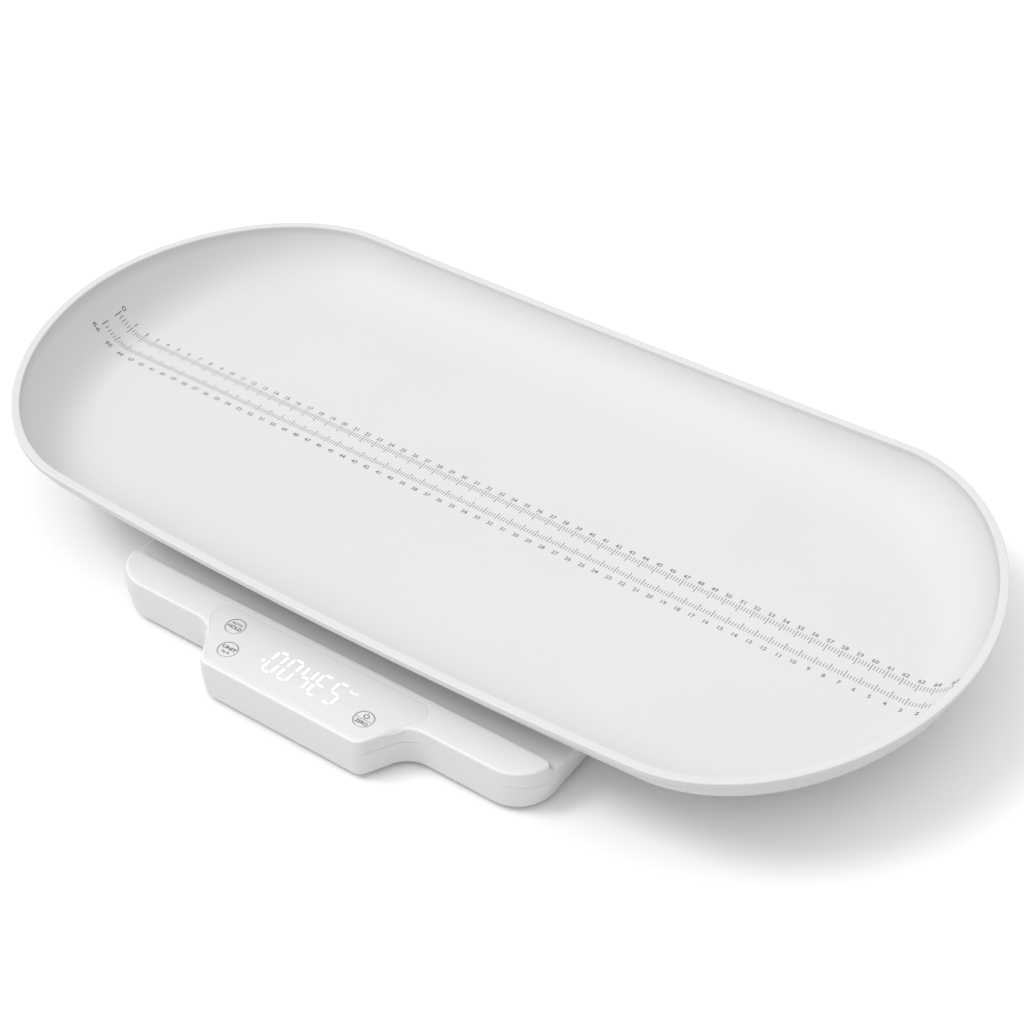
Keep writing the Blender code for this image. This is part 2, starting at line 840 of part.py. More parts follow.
rebate_z = tongue_top_z + tongue_clearance
rebate = tongue_inset - tongue_clearance
upper_cavity = loft(
    "upper_cavity",
    [
        leaning_ring(rebate, parting_z - overlap),
        leaning_ring(rebate, rebate_z),
        leaning_ring(shell_wall, rebate_z),
        leaning_ring(shell_wall, (rebate_z + deck_under_z) / 2),
        leaning_ring(shell_wall + deck_round / 2, deck_under_z),
        leaning_ring(shell_wall + deck_round / 2 + small_overlap, bar_under_z),
    ],
)
roof_cut = box(
    "roof_cut",
    (-deep, -bar_back_y - shell_wall, deck_under_z),
    (deep, deep, bar_top_z + overlap),
)
cut(upper_cavity, roof_cut)
cut(upper_shell, upper_cavity)

panel_corners = [
    (-panel_back_x, -panel_back_y, panel_back_radius),
    (-panel_waist_x, -panel_waist_y, panel_waist_radius),
    (-panel_front_x, -panel_front_y, panel_front_radius),
    (panel_front_x, -panel_front_y, panel_front_radius),
    (panel_waist_x, -panel_waist_y, panel_waist_radius),
    (panel_back_x, -panel_back_y, panel_back_radius),
]
skin_outline = rounded(panel_corners, -panel_skin_margin)
skin = loft("panel_skin", [at(skin_outline, panel_skin_bottom_z), at(skin_outline, panel_bottom_z)])
add(upper_shell, skin)

for side in (-1, 1):
    place = (side * board_boss_x, -board_boss_y)
    profile = [
        (board_boss_radius, board_top_z + touch_clearance),
        (board_boss_radius, panel_skin_bottom_z + small_overlap),
    ]
    add(upper_shell, turned(f"board_boss_{side}", place, profile, steps=16))
    place = (side * board_pin_x, -board_pin_y)
    add(upper_shell, turned(f"board_pin_{side}", place, profile, steps=16))
boss_ends = (column_top_z + slide_clearance, deck_under_z + small_overlap)
for number, place in screw_places.items():
    profile = [(boss_radius, z) for z in boss_ends]
    add(upper_shell, turned(f"boss_{number}", place, profile, steps=16))
for number, place in screw_places.items():
    profile = [(boss_hole, column_top_z - overlap), (boss_hole, screw_top_z + screw_tip_gap)]
    cut(upper_shell, turned(f"boss_bore_{number}", place, profile, steps=16))
for side in (-1, 1):
    place = (side * board_boss_x, -board_boss_y)
    profile = [
        (board_screw_hole, board_top_z - overlap),
        (board_screw_hole, panel_skin_bottom_z - overlap),
    ]
    cut(upper_shell, turned(f"board_bore_{side}", place, profile, steps=16))

recess_outline = rounded(panel_corners)
recess_rings = [at(recess_outline, panel_bottom_z), at(recess_outline, bar_top_z + overlap)]
cut(upper_shell, loft("panel_recess", recess_rings))
window_half = (led_half_length + led_window_margin, led_half_width + led_window_margin)
window = rounded_box(
    "led_window",
    (led_offset, -led_y),
    window_half,
    panel_skin_bottom_z - overlap,
    panel_bottom_z + overlap,
    led_corner,
)
cut(upper_shell, window)
for number, place in pad_places.items():
    socket_radius = pad_radius + socket_margin
    profile = [
        (socket_radius - socket_slope, deck_z - socket_depth),
        (socket_radius, deck_z + overlap),
    ]
    cut(upper_shell, turned(f"pad_socket_{number}", place, profile))

# Display panel
panel_outline = rounded(panel_corners, panel_clearance)
panel_top_outline = rounded(panel_corners, panel_clearance + panel_edge)
display_panel = loft(
    "display_panel",
    [
        at(panel_outline, panel_bottom_z + panel_clearance),
        at(panel_outline, bar_top_z - panel_edge),
        at(panel_top_outline, bar_top_z),
    ],
    parts,
    panel_plastic,
)

# Keys and switches
for name, place in key_places.items():
    hole = key_radius + button_clearance
    profile = [(hole, panel_skin_bottom_z - overlap), (hole, bar_top_z + overlap)]
    bore = turned(f"key_hole_{name}", place, profile)
    cut(upper_shell, bore)
    cut(display_panel, bore)
    flange_top = panel_skin_bottom_z - touch_clearance
    profile = [
        (key_stem_radius, key_stem_bottom_z),
        (key_stem_radius, flange_top - key_flange_height),
        (key_radius + key_flange, flange_top - key_flange_height),
        (key_radius + key_flange, flange_top),
        (key_radius, flange_top),
        (key_radius, bar_top_z - panel_edge),
        (key_radius - panel_edge, bar_top_z),
    ]
    origin = (place[0], place[1], bar_top_z)
    turned(f"key_{name}", place, profile, parts, key_plastic, origin)
    switch = rounded_box(
        f"switch_{name}",
        place,
        (switch_half, switch_half),
        on_board_z,
        switch_top_z,
        switch_corner,
        parts,
        black_plastic,
    )
    profile = [
        (switch_bore, switch_top_z - switch_bore_depth),
        (switch_bore, switch_top_z + overlap),
    ]
    cut(switch, turned(f"switch_bore_{name}", place, profile, steps=16))

# Board and what it carries
board_corners = [
    (-board_back_x, -board_back_y, board_corner),
    (-board_front_x, -board_front_y, board_corner),
    (board_front_x, -board_front_y, board_corner),
    (board_back_x, -board_back_y, board_corner),
]
board_outline = rounded(board_corners, 0, 3)
board_rings = [at(board_outline, board_bottom_z), at(board_outline, board_top_z)]
main_board = loft("main_board", board_rings, parts, board_green)
board_hole = board_screw_hole + touch_clearance
for side in (-1, 1):
    place = (side * board_boss_x, -board_boss_y)
    profile = [
        (board_hole, board_bottom_z - overlap),
        (board_hole, board_top_z + overlap),
    ]
    cut(main_board, turned(f"board_hole_{side}", place, profile, steps=16))
    profile = screw_profile(
        board_screw_head,
        board_screw_head_height,
        board_bottom_z - touch_clearance - board_screw_head_height,
        board_screw_shank,
        board_top_z + board_screw_reach,
    )
    number = 1 if side < 0 else 2
    turned(f"board_screw_{number}", place, profile, parts, steel, steps=16)

rounded_box(
    "led_module",
    (led_offset, -led_y),
    (led_half_length, led_half_width),
    on_board_z,
    led_top_z,
    led_corner,
    parts,
    led_white,
)
buzzer_place = (0, -buzzer_y)
profile = [(buzzer_radius, on_board_z), (buzzer_radius, on_board_z + buzzer_height)]
buzzer = turned("buzzer", buzzer_place, profile, parts, black_plastic, steps=24)
buzzer_top = on_board_z + buzzer_height
profile = [(buzzer_port, buzzer_top - buzzer_port_depth), (buzzer_port, buzzer_top + overlap)]
cut(buzzer, turned("buzzer_port", buzzer_place, profile, steps=12))
box(
    "controller_chip",
    (chip_x - chip_half_length, -buzzer_y - chip_half_width, on_board_z),
    (chip_x + chip_half_length, -buzzer_y + chip_half_width, on_board_z + chip_height),
    parts,
    black_plastic,
)
box(
    "cable_header",
    (-header_half_length, -header_y - header_half_width, header_top_z - header_height),
    (header_half_length, -header_y + header_half_width, header_top_z),
    parts,
    led_white,
)

# Feet, load cells and their cables
for number, place in foot_places.items():
    along = -1 if place[1] > 0 else 1
    profile = [
        (foot_pad_radius - foot_pad_round, 0),
        (foot_pad_radius, foot_pad_round),
        (foot_pad_radius, foot_pad_height),
    ]
    turned(f"foot_pad_{number}", place, profile, parts, rubber)
    profile = [
        (foot_radius - foot_pad_round, foot_bottom_z),
        (foot_radius, foot_bottom_z + foot_pad_round),
        (foot_radius, foot_top_z),
        (foot_boss_radius, foot_top_z),
        (foot_boss_radius, frame_top_z),
    ]
    turned(f"foot_{number}", place, profile, parts, inner_plastic)
    frame = rounded_box(
        f"cell_frame_{number}",
        place,
        (frame_half, frame_half),
        frame_top_z - frame_height,
        frame_top_z,
        well_corner,
        parts,
        inner_plastic,
    )
    profile = [(frame_hole, 0), (frame_hole, frame_top_z + overlap)]
    cut(frame, turned(f"frame_hole_{number}", place, profile, steps=16))
    load_cell = rounded_box(
        f"load_cell_{number}",
        place,
        (cell_half, cell_half),
        cell_bottom_z,
        cell_top_z,
        cell_corner,
        parts,
        steel,
    )
    slot_low, slot_high = cell_bottom_z - overlap, cell_top_z + overlap
    for side in (-1, 1):
        x = place[0] + side * cell_slot_reach
        cutter = box(
            f"cell_slot_{number}_{side}",
            (x - cell_slot / 2, place[1] - cell_slot_reach, slot_low),
            (x + cell_slot / 2, place[1] + cell_slot_reach, slot_high),
        )
        cut(load_cell, cutter)
    y = place[1] - along * cell_slot_reach
    cutter = box(
        f"cell_slot_{number}_end",
        (place[0] - cell_slot_reach, y - cell_slot / 2, slot_low),
        (place[0] + cell_slot_reach, y + cell_slot / 2, slot_high),
    )
    cut(load_cell, cutter)

header_face_y = -header_y + header_half_width + touch_clearance
for number, place in foot_places.items():
    across = -1 if place[0] > 0 else 1
    along = -1 if place[1] > 0 else 1
    start_x = place[0] + across * cable_offset
    start_y = place[1] + along * cable_offset
    start_z = cell_top_z + touch_clearance
    front = place[1] < 0
    lane = (1 if front else 2) * cable_pitch - cable_pitch / 2
    end_x = -across * (lane + cable_pitch)
    side_x = -across * turn_x
    run_y = -near_lane_y if front else -lane_y
    clear = well_wall + well_half
    beside_x = place[0] + across * (clear + cable_radius * 2)
    path = [
        (start_x, start_y, start_z),
        (start_x, start_y, start_z + cable_radius * 3),
        (start_x, start_y, cable_high_z + cable_radius),
        (beside_x, start_y, cable_high_z + cable_radius),
        (beside_x + across * cable_radius * 4, start_y, cable_floor_z),
    ]
    if front:
        path.append((side_x + across * cable_radius * 12, run_y, cable_floor_z))
    else:
        path.append((side_x + across * cable_radius * 8, battery_mid_y / 2, cable_floor_z))
        path.append((side_x + across * cable_radius * 8, run_y, cable_floor_z))
    path.append((end_x * 2, run_y - cable_radius * 4, cable_floor_z))
    path.append((end_x, run_y - cable_radius * 20, cable_end_z - cable_radius * 8))
    path.append((end_x, header_face_y + cable_radius * 8, cable_end_z))
    path.append((end_x, header_face_y + cable_radius * 2, cable_end_z))
    path.append((end_x, header_face_y, cable_end_z))
    tube(f"cell_cable_{number}", smooth_path(path), cable_radius, cable_grey, 6)

# Batteries, contacts and leads
battery_half = battery_length / 2
battery_shoulder = battery_half - battery_nub / 2
battery_profile = [
    (battery_radius * battery_base_share, -battery_half),
    (battery_radius, -battery_shoulder),
    (battery_radius, battery_half - battery_nub),
    (battery_radius * battery_shoulder_share, battery_shoulder),
    (battery_nub_radius, battery_shoulder),
    (battery_nub_radius, battery_half + battery_nub / 2),
]
battery_ys = []
for row in range(battery_rows):
    y = battery_mid_y + (row - (battery_rows - 1) / 2) * battery_pitch
    facing = -1 if row % 2 else 1
    battery_ys.append((y, facing))
    profile = [(radius, facing * x) for radius, x in battery_profile]
    turned_along_x(f"battery_{row + 1}", (y, battery_z), profile, parts, cell_jacket)

contact_face_x = bay_half_length - touch_clearance - contact_thickness
contact_root_x = contact_face_x + contact_thickness / 2
for side, name in ((-1, "contact_left"), (1, "contact_right")):
    ends = (side * contact_face_x, side * (contact_face_x + contact_thickness))
    plate = box(
        name,
        (min(ends), battery_mid_y - contact_half, battery_z - contact_height / 2),
        (max(ends), battery_mid_y + contact_half, battery_z + contact_height / 2),
        parts,
        nickel,
    )
    for y, facing in battery_ys:
        # The nub meets a low bump, and the flat end meets a spring.
        if facing == side:
            radius, shares = contact_bump_radius, bump_shares
            tip_x = battery_half + battery_nub / 2 + slide_clearance
        else:
            radius, shares = spring_radius, spring_shares
            tip_x = battery_half + slide_clearance
        reach = contact_root_x - tip_x
        profile = [(radius * wide, side * (contact_root_x - reach * far)) for wide, far in shares]
        add(plate, turned_along_x(f"{name}_bump_{y:.4f}", (y, battery_z), profile))

for side in (-1, 1):
    name = "battery_lead_negative" if side < 0 else "battery_lead_positive"
    paint = cable_black if side < 0 else cable_red
    start_x = side * (bay_half_length + touch_clearance / 2)
    out_x = side * (bay_block_half + cable_radius * 3)
    end_x = side * cable_pitch / 2
    path = [
        (start_x, battery_mid_y, lead_z),
        (start_x + side * cable_radius * 3, battery_mid_y, lead_z),
        (out_x, battery_mid_y, lead_z),
        (out_x + side * cable_radius * 3, battery_mid_y - cable_radius * 6, cable_floor_z),
        (out_x + side * cable_radius * 3, battery_mid_y / 2, cable_floor_z),
        (end_x * 3, 0, cable_floor_z),
        (end_x, -lane_y + cable_radius * 12, cable_floor_z),
        (end_x, -lane_y - cable_radius * 24, cable_end_z - cable_radius * 8),
        (end_x, header_face_y + cable_radius * 8, cable_end_z),
        (end_x, header_face_y + cable_radius * 2, cable_end_z),
        (end_x, header_face_y, cable_end_z),
    ]
    tube(name, smooth_path(path), cable_radius, paint, 6)

# Battery door
door_origin = (0, (door_front_y + base_back_y) / 2, shell_bottom_z)
door_back_y = base_back_y - front_draft
battery_door = box(
    "battery_door",
    (-door_half, door_front_y, shell_bottom_z),
    (door_half, door_back_y, shell_bottom_z + door_thickness),
    parts,
    case_plastic,
    door_origin,
)
web = box(
    "door_web",
    (-door_half, door_tongue_front_y, shell_bottom_z + door_thickness - small_overlap),
    (door_half, door_tongue_back_y, door_tongue_z + small_overlap),
)
door_tongue = box(
    "door_tongue",
    (-door_tongue_half, door_tongue_front_y, door_tongue_z),
    (door_tongue_half, door_tongue_back_y, door_tongue_z + door_tongue_thickness),
)
door_lip = box(
    "door_lip",
    (-door_lip_half, base_back_y - shell_wall, shell_bottom_z + small_overlap / 2),
    (door_lip_half, door_back_y, shell_bottom_z + door_lip_height),
)
add(battery_door, web, door_tongue, door_lip)

# The door's back edge follows the rounded bottom edge of the base.
outside = box("base_outside", (-deep, 0, shell_bottom_z - overlap), (deep, deep, parting_z))
outer_rings = [base_ring(front_draft + bottom_round, shell_bottom_z - deep, bottom_share)]
outer_rings += lower_rings[:4]
cut(outside, loft("base_outer_form", outer_rings))
cut(battery_door, outside)
for i in range(door_ridges):
    y = door_ridge_y + (i - door_ridges / 2) * door_ridge_pitch
    ridge = box(
        f"door_ridge_{i}",
        (-door_ridge_half, y, shell_bottom_z - door_ridge),
        (door_ridge_half, y + door_ridge_width, shell_bottom_z + small_overlap),
    )
    add(battery_door, ridge)

# Case screws
for number, place in screw_places.items():
    profile = screw_profile(
        screw_head_radius, screw_head_height, screw_bottom_z, screw_shank_radius, screw_top_z
    )
    screw = turned(f"case_screw_{number}", place, profile, parts, steel, steps=16)
    for k in (0, 1):
        long, short = screw_recess_radius, screw_recess_radius / 3
        hx, hy = (long, short) if k else (short, long)
        cutter = box(
            f"screw_recess_{number}_{k}",
            (place[0] - hx, place[1] - hy, screw_bottom_z - overlap),
            (place[0] + hx, place[1] + hy, screw_bottom_z + screw_recess_depth),
        )
        cut(screw, cutter)
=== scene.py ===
"""Looks of the digital baby weighing scale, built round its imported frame.

Lengths are in metres. Places are written in the tray's frame, whose long axis is x at y = 0,
and are moved along y by shift_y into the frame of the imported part.
"""

import math

import bmesh
import bpy
from mathutils import Matrix, Vector


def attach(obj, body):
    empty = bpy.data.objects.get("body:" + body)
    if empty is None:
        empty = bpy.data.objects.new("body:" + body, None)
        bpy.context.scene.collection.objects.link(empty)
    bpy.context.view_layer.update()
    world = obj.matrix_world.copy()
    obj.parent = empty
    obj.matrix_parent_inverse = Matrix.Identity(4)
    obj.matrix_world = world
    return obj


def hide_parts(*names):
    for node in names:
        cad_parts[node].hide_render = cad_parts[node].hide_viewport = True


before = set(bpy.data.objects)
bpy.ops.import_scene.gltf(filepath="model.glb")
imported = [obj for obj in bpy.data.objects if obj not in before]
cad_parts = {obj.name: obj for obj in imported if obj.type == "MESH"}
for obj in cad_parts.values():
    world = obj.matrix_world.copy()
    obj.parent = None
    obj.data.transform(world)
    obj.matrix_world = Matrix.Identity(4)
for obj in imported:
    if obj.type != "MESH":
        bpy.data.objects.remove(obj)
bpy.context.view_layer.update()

# Tray, as in the part's source
half_length = 0.3398
half_width = 0.1629
side_bow = 0.0086
end_reach = 0.1249
end_exponent = 1.93
floor_z = 0.0360
rim_rise = 0.0313
end_rise = 0.0108
wall = 0.0030
side_wall = 0.0024
wall_reach = 0.0550
end_snug = 0.34
lip_width = 0.0057
lip_height = 0.0040
lip_round = 0.0009
lip_blend = 4
pad_x = 0.1200
pad_y = 0.0900

# Ribs and pad rings under the tray, the ribs with drawn sides
rib_half = 0.0012
rib_depth = 0.0030
rib_draft = 0.0002
rib_reach_x = 0.2050
rib_y = 0.0620
cross_rib_x = 0.1800
cross_rib_reach_y = 0.0900
pad_ring_inner = 0.0092
pad_ring_outer = 0.0110
pad_ring_depth = 0.0024
rib_overlap = 0.0004

# Base, as in the part's source
shell_bottom_z = 0.0030
floor_top_z = 0.0054
parting_z = 0.0229
parting_line = 0.0003
deck_z = 0.0275
bar_top_z = 0.03315
shell_wall = 0.0024
base_half_width = 0.1630
base_back_y = 0.1280
wing_front_y = 0.1836
bar_back_y = 0.1602
bulge_front_y = 0.2123
bulge_half_width = 0.0607
bulge_root_x = 0.0766
corner_radius = 0.0266
back_corner_radius = 0.0240
bar_corner_radius = 0.0060
root_radius = 0.0190
bulge_radius = 0.0086
side_draft = 0.0030
side_lean = 0.0036
front_draft = 0.0008
top_round = 0.0018
deck_round = 0.0020
bottom_round = 0.0030
step_slope = 0.0018
socket_radius = 0.0105
socket_slope = 0.0006
socket_depth = 0.0012
tongue_inset = 0.0013
tongue_height = 0.0013

# Wells of the feet, screws and battery bay, as in the part's source
foot_x = 0.1280
foot_front_y = 0.1500
foot_back_y = 0.0980
well_half = 0.0165
well_wall = 0.0020
well_corner = 0.0030
well_roof_z = 0.0114
well_top_z = 0.0134
cable_hole = 0.0014
cable_offset = 0.0125
screw_places = (
    (-0.1280, -0.1200),
    (0.1280, -0.1200),
    (-0.1500, -0.0300),
    (0.1500, -0.0300),
    (-0.0980, 0.1180),
    (0.0980, 0.1180),
)
column_radius = 0.0050
column_top_z = 0.0148
counterbore_radius = 0.0032
counterbore_top_z = 0.0079
column_hole = 0.0017
battery_mid_y = 0.1015
bay_half_length = 0.0255
bay_half_width = 0.0170
bay_block_half = 0.0362
bay_skin = 0.0020
bay_roof_z = 0.0178
door_front_y = 0.0800
door_half = 0.0297
door_tongue_half = 0.0320
door_lip_half = 0.0335
door_lip_height = 0.0062
door_groove_top_z = 0.0069
slide_clearance = 0.0003
overlap = 0.0010
small_overlap = 0.0002

# Posts and display window of the upper shell, as in the part's source
boss_radius = 0.0040
boss_hole = 0.0015
boss_hole_top_z = 0.0215
board_boss_radius = 0.0030
board_screw_hole = 0.0011
board_top_z = 0.0239
board_boss_x = 0.0420
board_boss_y = 0.1705
board_pin_x = 0.0412
board_pin_y = 0.2006
skin_bottom_z = 0.02975
skin_margin = 0.0016
window_x = 0.0040
window_y = 0.1885
window_half_length = 0.0342
window_half_width = 0.0117
window_corner = 0.0010

# Panel and keys, as in the part's source
panel_depth = 0.0016
panel_edge = 0.0003
panel_corners = (
    (-0.0800, -0.1655, 0.0080),
    (-0.0795, -0.1780, 0.0090),
    (-0.0585, -0.2078, 0.0060),
    (0.0585, -0.2078, 0.0060),
    (0.0795, -0.1780, 0.0090),
    (0.0800, -0.1655, 0.0080),
)
key_radius = 0.00644
key_hole_radius = 0.00669
key_flange_radius = 0.00774
key_flange_top_z = 0.02955
key_flange_bottom_z = 0.02845
key_stem_radius = 0.0015
key_stem_bottom_z = 0.0269
key_places = {
    "hold": (-0.0601, -0.1780),
    "unit": (-0.0509, -0.1957),
    "power": (0.0511, -0.1946),
}

shift_y = (bulge_front_y - half_width - side_bow) / 2
print_lift = 0.00006
# Bevel on both sides of the parting line and the reach of cutters past the case
line_edge = 0.0002
clear_of_case = 0.2


# Meshes
def piece_from(name, mesh, paint, body, sharp=30):
    """A mesh written in the tray's frame becomes a piece of that body."""
    for point in mesh.vertices:
        point.co.y += shift_y
    for face in mesh.polygons:
        face.use_smooth = True
    mesh.set_sharp_from_angle(angle=math.radians(sharp))
    piece = bpy.data.objects.new(name, mesh)
    bpy.context.scene.collection.objects.link(piece)
    mesh.materials.clear()
    mesh.materials.append(paint)
    weighted = piece.modifiers.new("weighted", "WEIGHTED_NORMAL")
    weighted.keep_sharp = True
    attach(piece, body)
    return piece


def stands_for(node):
    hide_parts(node)


def mesh_from(name, points, faces):
    mesh = bpy.data.meshes.new(name)
    mesh.from_pydata(points, [], faces)
    mesh.update()
    return mesh


def loft(name, rings, around=False, capped=True):
    """Faces between rings of equal length; around also joins the last ring to the first."""
    shape = bmesh.new()
    rows = [[shape.verts.new(point) for point in ring] for ring in rings]
    pairs = list(zip(rows, rows[1:]))
    if around:
        pairs.append((rows[-1], rows[0]))
    count = len(rows[0])
    for low, high in pairs:
        for i in range(count):
            j = (i + 1) % count
            shape.faces.new((low[i], low[j], high[j], high[i]))
    if capped and not around:
        shape.faces.new(list(reversed(rows[0])))
        shape.faces.new(rows[-1])
    bmesh.ops.recalc_face_normals(shape, faces=shape.faces)
    mesh = bpy.data.meshes.new(name)
    shape.to_mesh(mesh)
    shape.free()
    return mesh


def circle(centre, radius, z, steps=64):
    ring = []
    for i in range(steps):
        angle = 2 * math.pi * i / steps
        ring.append((centre[0] + radius * math.cos(angle), centre[1] + radius * math.sin(angle), z))
    return ring


def joined(name, meshes):
    """Several meshes as one."""
    shape = bmesh.new()
    for mesh in meshes:
        shape.from_mesh(mesh)
        bpy.data.meshes.remove(mesh)
    mesh = bpy.data.meshes.new(name)
    shape.to_mesh(mesh)
    shape.free()
    return mesh


def rounded(corners, inset=0, steps=12):
    """Plan of a polygon moved inwards with round corners; corners are (x, y, radius)."""
    found = []
    for i, (x1, y1, radius) in enumerate(corners):
        before, after = corners[i - 1], corners[(i + 1) % len(corners)]
        into = Vector((x1 - before[0], y1 - before[1])).normalized()
        out = Vector((after[0] - x1, after[1] - y1)).normalized()
        turn = into.x * out.y - into.y * out.x
        bend = math.atan2(turn, into.dot(out))
        side = 1 if turn > 0 else -1
        size = max(radius - inset * side, 0.0002)
        reach = size * math.tan(abs(bend) / 2) + inset * math.tan(bend / 2)
        start = Vector((x1, y1)) - into * reach + Vector((-into.y, into.x)) * inset
        centre = start + Vector((-into.y, into.x)) * size * side
        first = start - centre
        for k in range(steps + 1):
            turned = first.copy()
            turned.rotate(Matrix.Rotation(bend * k / steps, 2))
            found.append(tuple(centre + turned))
    return found


def at(outline, z, x_share=1):
    return [(x * x_share, y, z) for x, y in outline]


def box(low, high):
    plan = [(low[0], low[1]), (high[0], low[1]), (high[0], high[1]), (low[0], high[1])]
    return loft("box", [at(plan, low[2]), at(plan, high[2])])


def turned(centre, profile, steps=64):
    """Profile is (radius, z) from bottom to top."""
    return loft("turned", [circle(centre, radius, z, steps) for radius, z in profile])


def round_bar(centre, radius, low_z, high_z, steps=32):
    return turned(centre, [(radius, low_z), (radius, high_z)], steps)


def rounded_box(centre, half, low_z, high_z, radius):
    corners = [
        (centre[0] + x * half, centre[1] + y * half, radius)
        for x, y in ((-1, -1), (1, -1), (1, 1), (-1, 1))
    ]
    plan = rounded(corners)
    return loft("rounded_box", [at(plan, low_z), at(plan, high_z)])


def combined(mesh, others, operation):
    """The mesh with other closed meshes added or cut away, one after the other."""
    whole = bpy.data.objects.new(mesh.name, mesh)
    bpy.context.scene.collection.objects.link(whole)
    helpers = []
    for other in others:
        helper = bpy.data.objects.new("helper", other)
        bpy.context.scene.collection.objects.link(helper)
        helpers.append(helper)
        step = whole.modifiers.new("step", "BOOLEAN")
        step.operation = operation
        step.solver = "EXACT"
        step.object = helper
    bpy.context.view_layer.update()
    evaluated = whole.evaluated_get(bpy.context.evaluated_depsgraph_get())
    result = bpy.data.meshes.new_from_object(evaluated)
    for made in [whole, *helpers]:
        spent = made.data
        bpy.data.objects.remove(made)
        bpy.data.meshes.remove(spent)
    shape = bmesh.new()
    shape.from_mesh(result)
    bmesh.ops.remove_doubles(shape, verts=shape.verts, dist=0.000003)
    bmesh.ops.dissolve_degenerate(shape, edges=shape.edges, dist=0.000003)
    shape.to_mesh(result)
    shape.free()
    return result


def without(mesh, *others):
    return combined(mesh, others, "DIFFERENCE")


def with_added(mesh, *others):
    return combined(mesh, others, "UNION")


# Shader maths
class Tone:
    """A socket whose value varies over a surface, with Python's arithmetic."""

    def __init__(self, paint, socket):
        self.paint = paint
        self.socket = socket

    def maths(self, operation, first, second):
        return self.paint.node("ShaderNodeMath", {"operation": operation}, {0: first, 1: second})

    def __add__(self, other):
        return self.maths("ADD", self, other)

    def __sub__(self, other):
        return self.maths("SUBTRACT", self, other)

    def __rsub__(self, other):
        return self.maths("SUBTRACT", other, self)

    def __mul__(self, other):
        return self.maths("MULTIPLY", self, other)

    def __pow__(self, other):
        return self.maths("POWER", self, other)

    __radd__ = __add__
    __rmul__ = __mul__


class Paint:
    """One material and the nodes behind its surface."""

    def __init__(self, name, **surface):
        self.material = bpy.data.materials.new(name)
        self.material.use_nodes = True
        self.nodes = self.material.node_tree.nodes
        self.surface = self.nodes["Principled BSDF"]
        for socket, value in surface.items():
            self.surface.inputs[socket.replace("_", " ")].default_value = value

    def node(self, kind, settings, values, output=0):
        made = self.nodes.new(kind)
        for name, value in settings.items():
            setattr(made, name, value)
        for name, value in values.items():
            self.feed(made.inputs[name], value)
        return Tone(self, made.outputs[output])

    def feed(self, socket, value):
        if isinstance(value, Tone):
            self.material.node_tree.links.new(value.socket, socket)
        else:
            socket.default_value = value

    def set(self, name, value):
        self.feed(self.surface.inputs[name], value)

    def place(self):
        return self.node("ShaderNodeTexCoord", {}, {}, "Object")

    def noise(self, scale, detail=3, stretch=None):
        where = self.place()
        if stretch:
            where = self.node(
                "ShaderNodeVectorMath", {"operation": "MULTIPLY"}, {0: where, 1: stretch}
            )
        return self.node(
            "ShaderNodeTexNoise", {}, {"Vector": where, "Scale": scale, "Detail": detail}
        )

    def edge(self, reach=0.0008):
        """0 on flat places and up to 1 on edges, where the rounded normal leaves the face's own."""
        rounded_normal = self.node("ShaderNodeBevel", {"samples": 4}, {"Radius": reach})
        face_normal = self.node("ShaderNodeNewGeometry", {}, {}, "Normal")
        alike = self.node(
            "ShaderNodeVectorMath",
            {"operation": "DOT_PRODUCT"},
            {0: rounded_normal, 1: face_normal},
            "Value",
        )
        return self.node(
            "ShaderNodeMapRange", {}, {"Value": alike, "From Min": 0.995, "From Max": 0.85}
        )

    def facing_up(self, upright):
        """0 on faces whose normal rises by less than upright and 1 on clearly flatter ones."""
        normal = self.node("ShaderNodeNewGeometry", {}, {}, "Normal")
        height = self.node("ShaderNodeSeparateXYZ", {}, {"Vector": normal}, "Z")
        flat = 0.13 + upright * 3
        return self.node(
            "ShaderNodeMapRange", {}, {"Value": height, "From Min": upright, "From Max": flat}
        )

    def mix(self, share, first, second):
        return self.node(
            "ShaderNodeMix", {"data_type": "RGBA"}, {0: share, 6: first, 7: second}, 2
        )

    def bump(self, height, strength, distance):
        self.set(
            "Normal",
            self.node(
                "ShaderNodeBump", {}, {"Height": height, "Strength": strength, "Distance": distance}
            ),
        )


def moulded(name, colour, roughness, grain, depth, sides=1, upright=0.25, **surface):
    """Injection-moulded plastic: slight flow in the colour, fine grain, edges rubbed smoother.

    Upright faces get painted shade: their colour is darker by the factor sides. Their normals
    rise by less than upright.
    """
    paint = Paint(name, **surface)
    flow = paint.noise(9, 2)
    fine = paint.noise(grain, 4)
    patches = paint.noise(70, 3)
    darker = tuple(part * 0.965 for part in colour)
    rubbed = tuple(min(1, part * 1.03) for part in colour)
    base = paint.mix(flow, (*darker, 1), (*colour, 1))
    # Painted shade: faces whose normals rise by less than upright are darkened by the factor sides.
    if sides < 1:
        painted_side_shade = tuple(part * sides for part in colour)
        base = paint.mix(paint.facing_up(upright), (*painted_side_shade, 1), base)
    paint.set("Base Color", paint.mix(paint.edge() * 0.5, base, (*rubbed, 1)))
    paint.set("Roughness", patches * 0.1 + (roughness - 0.05) - paint.edge() * 0.08)
    paint.bump(fine, 0.25, depth)
    return paint.material


def brushed(name, colour, roughness):
    """Stamped sheet metal with fine brushing along x and dulled patches."""
    paint = Paint(name, Metallic=1)
    lines = paint.noise(240, 4, (0.08, 4, 4))
    patches = paint.noise(60, 3)
    dull = tuple(part * 0.7 for part in colour)
    paint.set("Base Color", paint.mix(lines * 0.5 + patches * 0.3, (*colour, 1), (*dull, 1)))
    paint.set("Roughness", patches * 0.2 + (roughness - 0.1))
    paint.bump(lines, 0.3, 0.00005)
    return paint.material


